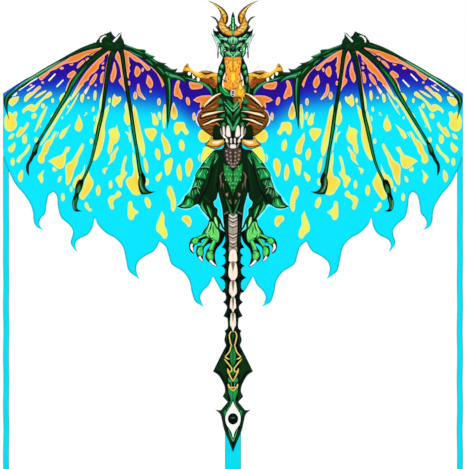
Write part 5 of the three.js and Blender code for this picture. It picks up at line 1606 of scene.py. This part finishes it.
def turned(name, a, b, profile, sides=32, closed=False):
    """A piece turned about the line from a to b. The profile is [(radius, distance from a)]."""
    along, across, up = (np.array(v) for v in along_and_across(a, b))
    verts, rings = [], []
    for radius, place in profile:
        rings.append(len(verts))
        angles = np.arange(sides if radius > 0 else 1) * math.tau / sides
        middle = np.array(a) + along * place
        verts += [middle + (across * math.cos(t) + up * math.sin(t)) * radius for t in angles]
    faces, corners = [], []
    last = len(profile) - 1
    for i, k in [(i, i + 1) for i in range(last)] + ([(last, 0)] if closed else []):
        for j in range(sides):
            low = [(i, j), (i, j + 1)] if profile[i][0] > 0 else [(i, 0)]
            high = [(k, j + 1), (k, j)] if profile[k][0] > 0 else [(k, 0)]
            faces.append([rings[r] + s % sides for r, s in low + high])
            wide = math.tau * max(profile[i][0], profile[k][0]) / sides
            corners.append([(s * wide, profile[r][1]) for r, s in low + high])
    points = np.array(verts)
    if inside_out(points, faces):
        faces, corners = ([f[::-1] for f in rows] for rows in (faces, corners))
    obj = new_object(name, points * MM, faces)
    grain_uv(obj.data, [c for face in corners for c in face])
    obj.data.set_sharp_from_angle(angle=math.radians(50))
    return obj


def rod_profile(radius, length, chamfer=0.4, step=15.0):
    """A rod with chamfered ends."""
    middle = [(radius, p) for p in np.linspace(chamfer, length - chamfer, max(2, int(length / step)))]
    return [(0, 0), (radius - chamfer, 0)] + middle + [(radius - chamfer, length), (0, length)]


def quarter(count):
    """Angles from 0 to a right angle."""
    return np.linspace(0, math.pi / 2, count)


def tube_profile(outer, inner, length, edge=0.3, step=15.0):
    """A tube with rounded ends, from the inside of one end round to the inside of the other."""
    middle = np.linspace(edge, length - edge, max(2, int(length / step)))
    return ([(inner, edge), (inner + edge / 2, 0), (outer - edge, 0)] + [(outer, p) for p in middle] +
            [(outer - edge, length), (inner + edge / 2, length), (inner, length - edge)])


# ------------------------------------------------------------------ rods
GAP = 0.3
SPAR_R = 2.5
EDGE_R = 2.0
RUN = 0.3
SPINE_Y = 6.2
SPAR_Y = 14.0
SPAR_TIP_Y = 8.0
EDGE_Y = 5.6
SPINE_TOP = 168.0
SPINE_JOIN = -215.0
SPINE_FOOT = -593.0
SPAR_START = 54.0
SPAR_END = 670.0
ROD_SETBACK = 7.0
SOCKET = 26.0
SOCKET_WALL = 2.2


def on_spine(z):
    return (0.0, SPINE_Y, z)


def on_spar(side, d):
    depth = SPAR_Y + (d - SPAR_START) / (SPAR_END - SPAR_START) * (SPAR_TIP_Y - SPAR_Y)
    return (side * d, depth, SPAR_Z)


def on_edge(side, start, end, distance):
    """A point on a leading-edge rod's line, that far from start."""
    t = distance / math.dist(start, end)
    return (side * (start[0] + (end[0] - start[0]) * t), EDGE_Y, start[1] + (end[1] - start[1]) * t)


def rod(name, a, b, radius, body):
    piece = turned("glass_" + name, a, b, rod_profile(radius, math.dist(a, b)), 24)
    return for_body(dress(piece, "rod"), body, name)


def make_rods():
    rod("spine_upper_rod", on_spine(SPINE_JOIN + GAP), on_spine(SPINE_TOP), SPAR_R, "frame")
    rod("spine_lower_rod", on_spine(SPINE_FOOT), on_spine(SPINE_JOIN - GAP), SPAR_R, "frame")
    for side, word in SIDES:
        wing = f"{word}_wing"
        rod(f"spar_rod_{word}", on_spar(side, SPAR_START), on_spar(side, SPAR_END), SPAR_R, wing)
        for place, end in (("outer", TIP), ("inner", CLIP)):
            reach = math.dist(WRIST, end) - ROD_SETBACK
            ends = [on_edge(side, WRIST, end, d) for d in (ROD_SETBACK, reach)]
            rod(f"edge_rod_{place}_{word}", *ends, EDGE_R, wing)


def make_spine_fittings():
    """Ferrule, end caps and stop rings."""
    half = 25.0
    length = 2 * half
    outer, inner = SPAR_R + 1, SPAR_R + RUN
    # A swaged groove near each end and a crimp in the middle
    end = [(inner, 0.2), (inner + 0.15, 0), (outer - 0.3, 0), (outer, 0.3), (outer, 5.0),
           (outer - 0.25, 5.6), (outer - 0.25, 6.4), (outer, 7.0), (outer, half - 1.6),
           (outer - 0.35, half - 0.6)]
    profile = end + [(radius, length - place) for radius, place in reversed(end)]
    low, high = on_spine(SPINE_JOIN - half), on_spine(SPINE_JOIN + half)
    ferrule = turned("ferrule", low, high, profile, closed=True)
    for_body(dress(ferrule, "alloy"), "frame", "spine_ferrule")
    wall, long, wide = 3.0, 16.0, SPAR_R + 1.2
    corner = 1.1
    dome = [(wide - corner + corner * math.sin(t), corner - corner * math.cos(t)) for t in quarter(6)]
    ribs = [(wide, 4.0), (wide - 0.25, 4.4), (wide - 0.25, 5.0), (wide, 5.4),
            (wide, 7.0), (wide - 0.25, 7.4), (wide - 0.25, 8.0), (wide, 8.4)]
    mouth = [(wide, long - 0.4), (wide - 0.4, long), (inner, long - 0.2), (inner, wall), (0, wall)]
    profile = [(0, 0)] + dome + ribs + mouth
    for name, z, way in (("spine_head_cap", SPINE_TOP + RUN + wall, -1),
                         ("spine_foot_cap", SPINE_FOOT - RUN - wall, 1)):
        cap = turned("vinyl_" + name, on_spine(z), on_spine(z + way * long), profile)
        for_body(dress(cap, "vinyl"), "frame", name)
    fat, long = SPAR_R + 2, 8.0
    end = [(inner, 0.4), (inner + 0.3, 0), (fat - 0.8, 0), (fat - 0.2, 0.3), (fat, 0.9), (fat, 3.2),
           (fat - 0.3, 3.6)]
    profile = end + [(radius, long - place) for radius, place in reversed(end)]
    for name, low in (("spine_stop_upper", 9.0), ("spine_stop_lower", -29.0)):
        stop = turned("vinyl_" + name, on_spine(low), on_spine(low + long), profile, closed=True)
        for_body(dress(stop, "vinyl"), "frame", name)


def make_joint_tubes():
    """The soft tubes that the wings flex about."""
    start, end = 15.0, 72.0
    for side, word in SIDES:
        a, b = (side * start, SPAR_Y, SPAR_Z), (side * end, SPAR_Y, SPAR_Z)
        tube = turned(f"soft_tube_{word}", a, b, tube_profile(4.3, 3.0, end - start, 0.5, 1.5), closed=True)
        dress(tube, "vinyl")
        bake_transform(tube)
        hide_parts(f"spar_joint_tube_{word}")


# ------------------------------------------------------------------ moulded fittings
def drawn_out(outline, low, high, place):
    """A flat outline drawn out from low to high; place turns (u, v, w) into a point."""
    n = len(outline)
    verts = [place(u, v, w) for w in (low, high) for u, v in outline]
    faces = [list(range(n))[::-1], list(range(n, 2 * n))]
    faces += [[i, (i + 1) % n, n + (i + 1) % n, n + i] for i in range(n)]
    points = np.array(verts)
    if inside_out(points, faces):
        faces = [f[::-1] for f in faces]
    return new_object("shape", points * MM, faces, smooth=False)


def block(low, high):
    outline = [(low[0], low[2]), (high[0], low[2]), (high[0], high[2]), (low[0], high[2])]
    return drawn_out(outline, low[1], high[1], lambda u, v, w: (u, w, v))


def cylinder(a, b, radius):
    return turned("shape", a, b, rod_profile(radius, math.dist(a, b), 0.01, 500.0), 28)


def cut_out(name, solids, cuts, voxel=0.45):
    """Joins the solids, takes the cuts away, and rounds every edge as a mould does."""
    first = solids[0]
    for operation, tools in (("UNION", solids[1:]), ("DIFFERENCE", cuts)):
        for tool in tools:
            cutter = first.modifiers.new("tool", "BOOLEAN")
            cutter.operation, cutter.object, cutter.solver = operation, tool, "EXACT"
    net = first.modifiers.new("net", "REMESH")
    net.mode, net.voxel_size, net.use_smooth_shade = "VOXEL", voxel * MM, True
    soften = first.modifiers.new("soften", "SMOOTH")
    soften.factor, soften.iterations = 0.5, 3
    shaped = first.evaluated_get(bpy.context.evaluated_depsgraph_get())
    mesh = bpy.data.meshes.new_from_object(shaped)
    for obj in solids + cuts:
        bpy.data.objects.remove(obj)
    mesh.name = name
    return placed(name, mesh)


def make_centre_fitting():
    low, high = -20.0, 8.0
    plan = [(-6.5, 2.5), (6.5, 2.5), (6.5, 8.5), (12, 10.5), (12, 16.5),
            (10, 18.5), (-10, 18.5), (-12, 16.5), (-12, 10.5), (-6.5, 8.5)]
    body = drawn_out(plan, low, high, lambda u, v, w: (u, v, w))
    lug_y, half = -4.6, 3.2
    nose = [(lug_y - half * math.sin(t), half * math.cos(t)) for t in np.linspace(0, math.pi, 17)]
    lug = drawn_out([(3.5, -half), (3.5, half)] + nose, -1.5, 1.5, lambda u, v, w: (w, u, v))
    spigots = [cylinder((s * 8, SPAR_Y, SPAR_Z), (s * 38, SPAR_Y, SPAR_Z), SPAR_R - 0.1) for s in (-1, 1)]
    collars = [cylinder((s * 11, SPAR_Y, SPAR_Z), (s * 14.4, SPAR_Y, SPAR_Z), 4.0) for s in (-1, 1)]
    ribs = [block((-9, 17.5, z - 0.8), (9, 19.1, z + 0.8)) for z in (-16, -4, 3)]
    cuts = [cylinder(on_spine(low - 5), on_spine(high + 5), SPAR_R + RUN),
            cylinder((-5, lug_y, 0), (5, lug_y, 0), 1.8)]
    piece = cut_out("centre_moulding", [body, lug] + spigots + collars + ribs, cuts, 0.4)
    for_body(dress(piece, "moulded"), "frame", "centre_fitting")


def socket(a, b, radius):
    """A round socket with a bead at its mouth b."""
    along = np.array(along_and_across(a, b)[0])
    bead = np.array(b) - along * 2.4
    return [cylinder(a, b, radius), cylinder(bead, b, radius + 0.5)]


def bore(a, b, radius, beyond=5.0):
    along = np.array(along_and_across(a, b)[0])
    return cylinder(a, np.array(b) + along * beyond, radius)


def make_wing_fittings():
    thin, thick = EDGE_R + SOCKET_WALL, SPAR_R + SOCKET_WALL
    stop = ROD_SETBACK - GAP
    for side, word in SIDES:
        outer = lambda distance: on_edge(side, WRIST, TIP, distance)
        inner = lambda distance: on_edge(side, WRIST, CLIP, distance)
        far_outer, far_inner = math.dist(WRIST, TIP), math.dist(WRIST, CLIP)
        front, back = ((side * WRIST[0], EDGE_Y + way * thin, WRIST[1]) for way in (-1, 1))
        round_profile = [(thin * math.sin(t) if 0 < t < 3.14 else 0, thin - thin * math.cos(t))
                         for t in np.linspace(0, math.pi, 13)]
        knuckle = turned("shape", front, back, round_profile, 28)
        arms = socket(outer(0), outer(SOCKET), thin) + socket(inner(0), inner(SOCKET), thin)
        wrist = cut_out(f"wrist_joint_{word}", [knuckle] + arms,
                        [bore(way(stop), way(SOCKET), EDGE_R + RUN) for way in (outer, inner)])
        for_body(dress(wrist, "vinyl"), f"{word}_wing", f"wrist_connector_{word}")
        wide = sorted((side * 650, side * 672))
        web = block((wide[0], EDGE_Y - 1, SPAR_Z - 3), (wide[1], SPAR_TIP_Y + 3, TIP[1] + 6))
        tip = cut_out(f"tip_joint_{word}",
                      [web] + socket(on_spar(side, 675), on_spar(side, 644), thick) +
                      socket(outer(far_outer), outer(far_outer - SOCKET), thin),
                      [bore(on_spar(side, SPAR_END + GAP), on_spar(side, 644), SPAR_R + RUN),
                       bore(outer(far_outer - stop), outer(far_outer - SOCKET), EDGE_R + RUN)])
        for_body(dress(tip, "vinyl"), f"{word}_wing", f"tip_connector_{word}")
        wide = sorted((side * 82, side * 96))
        web = block((wide[0], EDGE_Y - 1, SPAR_Z - 3), (wide[1], SPAR_Y, CLIP[1] + 2))
        clip = cut_out(f"spar_clasp_{word}",
                       [web] + socket(on_spar(side, 90), on_spar(side, 78), thick) +
                       socket(on_spar(side, 90), on_spar(side, 102), thick) +
                       socket(inner(far_inner), inner(far_inner - SOCKET), thin),
                       [bore(on_spar(side, 73), on_spar(side, 102), SPAR_R + RUN),
                        bore(inner(far_inner - stop), inner(far_inner - SOCKET), EDGE_R + RUN)])
        for_body(dress(clip, "moulded"), f"{word}_wing", f"spar_clip_{word}")


# ------------------------------------------------------------------ tow point
def make_tow_point():
    # Eyelet: a rolled flange in front and a barrel through the cloth and patch
    bore_r, barrel, flange, front, washer_front, washer_back = 4.2, 4.8, 7.5, -1.6, 1.3, 1.8
    roll = [(bore_r + 0.9 - 0.9 * math.cos(t), 0.75 - 0.75 * math.sin(t)) for t in quarter(7)]
    crown = [(flange - 0.9 + 0.9 * math.sin(t), 0.6 - 0.6 * math.cos(t)) for t in quarter(6)]
    depth = washer_back - front
    profile = roll + crown + [(flange - 0.15, 0.95), (barrel, 1.0), (barrel, depth), (bore_r, depth)]
    eyelet = turned("eyelet", (0, front, 0), (0, washer_back, 0), profile, 56, closed=True)
    for_body(dress(eyelet, "steel"), "frame", "tow_eyelet")
    thick = washer_back - washer_front
    profile = [(barrel + 0.2, 0), (flange - 0.2, 0), (flange, 0.15), (flange, thick - 0.2),
               (flange - 0.3, thick), (flange - 1.2, thick), (flange - 1.5, thick - 0.12),
               (barrel + 0.9, thick - 0.12), (barrel + 0.6, thick), (barrel + 0.2, thick)]
    washer = turned("eyelet_washer", (0, washer_front, 0), (0, washer_back, 0), profile, 48, closed=True)
    for_body(dress(washer, "steel"), "frame", "tow_washer")
    # Patch: a disc of tape, drawn in a little along two seam lines
    wide, hole, low, high = 21.0, barrel + GAP, 0.6, 1.1
    dip = lambda r: sum(0.16 * math.exp(-((r - seam) / 0.5) ** 2) for seam in (18.6, 9.6))
    top = [(r, high - low - dip(r)) for r in np.linspace(hole, wide - 0.2, 44)]
    profile = [(hole, 0)] + top + [(wide, 0.35), (wide, 0)]
    patch = turned("tow_point_patch", (0, low, 0), (0, high, 0), profile, 56, closed=True)
    for_body(dress(patch, "tape"), "frame", "tow_patch")
    # Ring: bent wire, its ends welded at the bottom
    major, wire, middle = 6.2, 1.0, Vector((0, -4.6, -6.2))
    around, about = 72, 16
    verts, faces, corners = [], [], []
    for i in range(around):
        t = i * math.tau / around
        away = Vector((math.sin(t), 0, -math.cos(t)))
        weld = min(t, math.tau - t)
        bead, neck = math.exp(-(weld / 0.12) ** 2), math.exp(-((weld - 0.2) / 0.05) ** 2)
        fat = wire * (1 + 0.07 * bead - 0.05 * neck)
        for k in range(about):
            s = k * math.tau / about
            spot = middle + away * (major + fat * math.cos(s)) + AXIS_Y * fat * math.sin(s)
            verts.append(tuple(spot * MM))
    for i in range(around):
        for k in range(about):
            ring = [(i, k), (i, k + 1), (i + 1, k + 1), (i + 1, k)]
            faces.append([(a % around) * about + b % about for a, b in ring])
            corners += [(b * 0.4, a * 0.55) for a, b in ring]
    ring = new_object("tow_wire_ring", verts, faces)
    grain_uv(ring.data, corners)
    for_body(dress(ring, "steel"), "ring", "tow_ring")


# ------------------------------------------------------------------ tape
SEWN = 0.6  # depth of the cloth's back, where tape is sewn to it
TAPE = 0.6
PATCH = 0.5


def strip(name, outer, inner, stations, look="tape"):
    """A closed strip: two matching paths, inner and outer, set out at each station by its own function."""
    n, m = len(outer), len(stations)
    verts = [place(p) for place in stations for p in list(outer) + list(inner)]
    at = lambda k, layer, i: (2 * k + layer) * n + i
    faces = []
    for k in range(m - 1):
        for i in range(n - 1):
            faces.append([at(k, 0, i), at(k, 0, i + 1), at(k + 1, 0, i + 1), at(k + 1, 0, i)])
            faces.append([at(k, 1, i), at(k + 1, 1, i), at(k + 1, 1, i + 1), at(k, 1, i + 1)])
        for i, turn in ((0, 1), (n - 1, -1)):
            faces.append([at(k, 0, i), at(k + 1, 0, i), at(k + 1, 1, i), at(k, 1, i)][::turn])
    for k, turn in ((0, 1), (m - 1, -1)):
        for i in range(n - 1):
            faces.append([at(k, 0, i), at(k, 1, i), at(k, 1, i + 1), at(k, 0, i + 1)][::turn])
    points = np.array(verts)
    if inside_out(points, faces):
        faces = [f[::-1] for f in faces]
    obj = new_object(name, points * MM, faces)
    obj.data.set_sharp_from_angle(angle=math.radians(38))
    return dress(obj, look)


def hoop_paths(depth, radius, flange, seam):
    """Cross-section of tape sewn down on both sides of a rod: (across, depth), outside and inside. The
    flanges dip where the stitches draw them in, seam from their edges."""
    foot = radius + TAPE + 1.6
    low = -math.pi / 9
    up = np.linspace(math.pi - low, low, 19)
    arc = lambda r: [(r * math.cos(t), depth + r * math.sin(t)) for t in up]
    flat = np.linspace(flange, foot, 10)
    dip = lambda u: 0.14 * math.exp(-(((flange - u) - seam) / 0.45) ** 2)
    ease_edge = lambda u: 0.12 if u > flange - 0.05 else 0.0
    back = lambda u: SEWN + TAPE - dip(u) - ease_edge(u)
    outer = [(-u, back(u)) for u in flat] + arc(radius + RUN + TAPE) + [(u, back(u)) for u in flat[::-1]]
    under = flat - (flat < foot + 1e-6) * TAPE
    inner = [(-u, SEWN) for u in under] + arc(radius + RUN) + [(u, SEWN) for u in under[::-1]]
    return outer, inner


def sleeve(name, node, a, b, depth, radius, flange, body):
    """A sleeve from a to b, (x, z) in the sail's plane, and its stitches."""
    a, b = np.array(a, float), np.array(b, float)
    length = math.dist(a, b)
    along = (b - a) / length
    across = np.array([along[1], -along[0]])
    seam = 2.2
    outer, inner = hoop_paths(depth, radius, flange, seam)
    count = max(6, int(length / 3.2))

    def station(k):
        t = k / (count - 1)
        lift = 0.10 * math.sin(k * 2.1) + 0.08 * math.sin(k * 0.83 + 1)
        breathe = 1 + 0.012 * math.sin(k * 1.7 + 0.5)
        pull = min(1.0, 4 * t * (1 - t) * 3)

        def place(p):
            u, y = p
            over = max(0.0, (y - SEWN - TAPE) / (depth + radius))
            spot = a + along * length * t + across * u * (1 + (breathe - 1) * pull * (over <= 0))
            return (spot[0], y + lift * pull * over, spot[1])

        return place

    piece = strip(name, outer, inner, [station(k) for k in range(count)])
    for_body(piece, body, node)
    rows = []
    for way in (-1, 1):
        start, end = (a + across * way * (flange - seam) + along * s for s in (2.0, length - 2.0))
        rows.append([(start[0], SEWN + TAPE - 0.1, start[1]), (end[0], SEWN + TAPE - 0.1, end[1])])
    for s in (1.6, length - 1.6):
        for way in (-1, 1):
            near, far = (a + along * s + across * way * d for d in (radius + TAPE + 2.4, flange - 1.2))
            rows.append([(near[0], SEWN + TAPE, near[1]), (far[0], SEWN + TAPE, far[1])])
    for_body(stitched(name + "_stitches", rows), body)


def stitched(name, rows, back=1, look="thread", long=2.5, pitch=3.6, fat=0.2):
    """Stitches along each row of points, standing out of the cloth in the middle."""
    verts, faces = [], []
    sides, steps = 5, 5
    for row in rows:
        points = np.array(row, float)
        reach = np.concatenate([[0], np.cumsum(np.linalg.norm(np.diff(points, axis=0), axis=1))])
        if reach[-1] < long:
            continue
        for k in range(max(1, int(reach[-1] / pitch))):
            start = (k + 0.5) * reach[-1] / max(1, int(reach[-1] / pitch)) - long / 2
            spots = [np.array([np.interp(start + long * t, reach, points[:, i]) for i in range(3)])
                     for t in np.linspace(0, 1, steps)]
            along = spots[-1] - spots[0]
            along /= max(np.linalg.norm(along), TINY)
            side = np.cross(along, (0, back, 0))
            first = len(verts)
            for j, spot in enumerate(spots):
                t = j / (steps - 1)
                thick = fat * (0.45 + 0.55 * math.sin(math.pi * min(max(t, 0.08), 0.92)))
                lift = 0.16 * math.sin(math.pi * t) - 0.04
                for s in range(sides):
                    angle = s * math.tau / sides
                    out = side * math.cos(angle) + np.array((0, back, 0)) * math.sin(angle)
                    verts.append((spot + np.array((0, back * lift, 0)) + out * thick) * MM)
            for j in range(steps - 1):
                for s in range(sides):
                    a, b = first + j * sides + s, first + j * sides + (s + 1) % sides
                    faces.append([a, b, b + sides, a + sides])
            faces.append([first + s for s in range(sides)][::-1])
            faces.append([first + (steps - 1) * sides + s for s in range(sides)])
    obj = new_object(name, verts, faces)
    return dress(obj, look)


def cloth_patch(name, node, outline, thick, body, seam=2.4):
    """A flat piece of tape with that outline, stitched down round its edge."""
    shape = np.array(outline, float)
    if area_of(shape) < 0:
        shape = shape[::-1]
    points, faces, *_ = cut_cloth(shape, [], 2.0)
    n = len(points)
    edge = edge_distance(shape, points)
    low, high = SEWN, SEWN + thick
    pulled = 0.14 * np.exp(-((edge - seam) / 0.5) ** 2) + 0.10 * (edge < 0.05)
    weave = 0.03 * np.sin(points[:, 0] * 1.1) * np.sin(points[:, 1] * 0.9)
    verts = np.concatenate([np.stack([points[:, 0], np.full(n, low), points[:, 1]], 1),
                            np.stack([points[:, 0], high - pulled + weave, points[:, 1]], 1)])
    walls = [(a, a + n, b + n, b) for a, b in open_sides(faces).T]
    front, back = ([tuple(f) for f in flat] for flat in (faces, faces[:, ::-1] + n))
    piece = new_object(name, verts * MM, front + back + walls)
    piece.data.set_sharp_from_angle(angle=math.radians(50))
    for_body(dress(piece, "tape"), body, node)
    wide, tall = shape.max(0) - shape.min(0)
    area = min(area_of(shape), wide * tall)
    fine = fine_loop(grown(shape, -seam), 1.0)
    fine = fine[inside(shape, fine)]
    fine = fine[edge_distance(shape, fine) > seam * 0.75]
    row = [(x, high - 0.08, z) for x, z in np.concatenate([fine, fine[:1]])]
    for_body(stitched(name + "_stitches", [row]), body)


def keeper(side, word, place, d):
    """A strap of tape over the spar. Its paths are (height, depth)."""
    depth = on_spar(side, d)[1]
    half, reach, gap = 7.0, 14.0, 0.4
    inner_r = SPAR_R + gap
    outer_r = inner_r + TAPE
    up = np.linspace(0, math.pi, 15)
    flat = np.linspace(reach, outer_r + 0.6, 8)
    dip = lambda v: 0.14 * math.exp(-((reach - v - 3.0) / 0.5) ** 2)

    def over_spar(radius, foot, skin):
        """From one end of the strap to the other; skin is the depth of its flat part at v from the spar."""
        arch = [(SPAR_Z - radius * math.cos(t), depth + radius * math.sin(t)) for t in up]
        near, far = [(SPAR_Z - v, skin(v)) for v in flat], [(SPAR_Z + v, skin(v)) for v in flat[::-1]]
        return near + [(SPAR_Z - radius, foot)] + arch + [(SPAR_Z + radius, foot)] + far

    outer = over_spar(outer_r, SEWN + TAPE + 0.5, lambda v: SEWN + TAPE - dip(v))
    inner = over_spar(inner_r, SEWN + 0.3, lambda v: SEWN)
    places = np.linspace(-half, half, 9)
    stations = [(lambda p, x=x: (side * d + x, p[1], p[0])) for x in places]
    body = f"{word}_wing"
    name = f"spar_strap_{place}_{word}"
    piece = strip(name, outer, inner, stations)
    for_body(piece, body, f"spar_keeper_{place}_{word}")
    rows = []
    y, wide = SEWN + TAPE - 0.05, half - 1.8
    for way in (-1, 1):
        near, far = SPAR_Z + way * (outer_r + 2.0), SPAR_Z + way * (reach - 1.6)
        box = [(-wide, near), (wide, near), (wide, far), (-wide, far), (-wide, near)]
        rows.append([(side * d + x, y, z) for x, z in box])
        rows.append([(side * d - wide, y, near), (side * d + wide, y, far)])
    for_body(stitched(name + "_stitches", rows), body)


def make_tape():
    cap_r = SPAR_R + 1.2
    frame_sleeves = [("spine_sleeve_upper", 30, 142, SPAR_R, 12),
                     ("spine_sleeve_middle", -182, -48, SPAR_R, 12),
                     ("spine_sleeve_lower", -564, -248, SPAR_R, 12),
                     ("head_pocket", 148, 176, cap_r, 15),
                     ("foot_pocket", -599, -572, cap_r, 15)]
    for node, low, high, radius, flange in frame_sleeves:
        sleeve("tape_" + node, node, (0, low), (0, high), SPINE_Y, radius, flange, "frame")
    clear = 42.0
    wrist = loop([(352, 134, 1), (345, 148), (356, 160), (385, 167), (408, 150), (418, 141), (404, 130),
                  (385, 128)], 2.0)
    tip = fine_loop(np.array([(638, 2), (650, 14), (686, -5), (686, -18), (645, -24)], float), 3.0)
    tab = fine_loop(np.array([(672.5, -40.3), (690, -40.3), (690, -22), (672.5, -22)]), 2.5)
    for side, word in SIDES:
        body = f"{word}_wing"
        for place, end in (("outer", TIP), ("inner", CLIP)):
            far = math.dist(WRIST, end)
            a, b = (on_edge(side, WRIST, end, d) for d in (clear, far - clear))
            sleeve(f"tape_edge_{place}_{word}", f"edge_sleeve_{place}_{word}", (a[0], a[2]), (b[0], b[2]),
                   EDGE_Y, EDGE_R, 9, body)
        for place, d in zip(("inner", "outer"), KEEPERS):
            keeper(side, word, place, d)
        for name, node, outline, thick in (("wrist_backing", "wrist_patch", wrist, PATCH),
                                           ("tip_backing", "tip_patch", tip, PATCH),
                                           ("streamer_tab", "ribbon_tab", tab, TAPE)):
            cloth_patch(f"{name}_{word}", f"{node}_{word}", outline * (side, 1), thick, body)
    wide = fine_loop(np.array([(-24, -1012.3), (24, -1012.3), (24, -998), (-24, -998)]), 2.5)
    cloth_patch("tail_streamer_tab", "tail_ribbon_tab", wide, TAPE, "tail")


# ------------------------------------------------------------------ streamers
RIBBON_TOP = -40.6
TAIL_RIBBON_TOP = -1012.6
RIBBON_BOTTOM = -1520.0
RIBBON_HALF = 0.25


def ribbon_depth(down):
    """Depth of a streamer: soft waves that grow down its length."""
    swell = 4 * min(1.0, max(0.0, (down - 150) / 500))
    return SEWN + RIBBON_HALF + swell * (1 - math.cos(math.tau * down / 150))


def streamer(name, node, low, high, top, body):
    """A hemmed ribbon, whose edges are folded and look deeper."""
    thin, hem, fold = 0.13, 2.2, 0.22
    wide = high - low
    across = sorted({0.0, 0.5, hem - 0.3, hem + 0.1, wide - hem - 0.1, wide - hem + 0.3, wide - 0.5, wide} |
                    set(np.linspace(hem + 1.5, wide - hem - 1.5, max(3, int(wide / 4)))))
    rows = int((top - RIBBON_BOTTOM) / 4.0)
    places = [(top + (RIBBON_BOTTOM - top) * k / rows) for k in range(rows + 1)]
    verts, rims = [], []
    for layer in (-1, 1):
        for z in places:
            down = top - z
            for u in across:
                rim = min(u, wide - u)
                half = fold if rim < hem else thin
                cup = 0.05 * math.sin(down / 23 + low) * math.sin(math.pi * u / wide)
                verts.append(((low + u) * MM, (ribbon_depth(down) + cup + layer * half) * MM, z * MM))
                rims.append(rim)
    n, m = len(across), len(places)
    at = lambda layer, k, i: (layer * m + k) * n + i
    faces = []
    for k in range(m - 1):
        for i in range(n - 1):
            faces.append([at(0, k, i), at(0, k + 1, i), at(0, k + 1, i + 1), at(0, k, i + 1)])
            faces.append([at(1, k, i), at(1, k, i + 1), at(1, k + 1, i + 1), at(1, k + 1, i)])
        for i, turn in ((0, 1), (n - 1, -1)):
            faces.append([at(0, k, i), at(1, k, i), at(1, k + 1, i), at(0, k + 1, i)][::turn])
    for k, turn in ((0, 1), (m - 1, -1)):
        for i in range(n - 1):
            faces.append([at(0, k, i), at(0, k, i + 1), at(1, k, i + 1), at(1, k, i)][::turn])
    piece = new_object(name, verts, faces)
    mesh = piece.data
    mesh.set_sharp_from_angle(angle=math.radians(50))
    depth = np.clip(np.array(rims)[corner_points(mesh)] / 3.2, 0, 1)[:, None]
    tints = RIBBON_EDGE * (1 - depth) + RIBBON_CYAN * depth
    wear = np.maximum(0.0, 1 - np.array(rims) / 2.5)
    print_on(mesh, tints, np.array(verts)[:, [0, 2]], wear)
    for_body(dress(piece, "ribbon"), body, node)
    long = sum(math.dist((ribbon_depth(top - a), a), (ribbon_depth(top - b), b))
               for a, b in zip(places, places[1:]))
    edges = [[(low + u, ribbon_depth(top - z) + fold - 0.02, z) for z in places[1:-1]]
             for u in (hem - 0.8, wide - hem + 0.8)]
    hems = stitched(name + "_hem_stitches", edges, look="hem_thread", long=2.2, pitch=3.4, fat=0.12)
    for_body(hems, body)


def make_streamers():
    for side, word in SIDES:
        low, high = sorted((side * 672.5, side * 690.0))
        streamer(f"streamer_{word}", f"ribbon_{word}", low, high, RIBBON_TOP, f"{word}_streamer")
    streamer("streamer_centre", "ribbon_centre", -24.0, 24.0, TAIL_RIBBON_TOP, "centre_streamer")


make_rods()
make_spine_fittings()
make_joint_tubes()
make_centre_fitting()
make_wing_fittings()
make_tow_point()
make_tape()
make_streamers()


# ------------------------------------------------------------------ stage
def studio():
    wide, sides, floor_z = 2.7, 96, cad_box[0][2] - 0.04
    angles = np.linspace(0, math.tau, sides + 1)[:-1]
    ring = [(wide * math.cos(a), wide * math.sin(a), floor_z) for a in angles]
    floor = new_object("floor", ring, [tuple(range(sides))], smooth=False)
    pale = bpy.data.materials.new("pale_floor")
    pale.use_nodes = True
    shader = pale.node_tree.nodes["Principled BSDF"]
    shader.inputs["Base Color"].default_value = (0.83, 0.83, 0.83, 1)
    shader.inputs["Roughness"].default_value = 0.85
    floor.data.materials.append(pale)
    world = bpy.data.worlds.new("studio")
    bpy.context.scene.world = world
    world.use_nodes = True
    world.node_tree.nodes["Background"].inputs[0].default_value = (1, 1, 1, 1)
    world.node_tree.nodes["Background"].inputs[1].default_value = 1.0
    for name, place, size, power in [("key", (-2.2, -3.0, 1.6), 2.4, 16),
                                     ("fill", (2.6, -2.6, 0.2), 2.6, 8),
                                     ("rear", (0.6, 3.0, 1.4), 2.6, 14)]:
        data = bpy.data.lights.new(name, "AREA")
        data.size, data.energy = size, power
        lamp = placed(name, data)
        lamp.location = place
        aim = Vector((0, 0, VIEW_MIDDLE_Z)) - Vector(place)
        lamp.rotation_euler = aim.to_track_quat("-Z", "Y").to_euler()
    bpy.context.scene.view_settings.view_transform = "Standard"


studio()
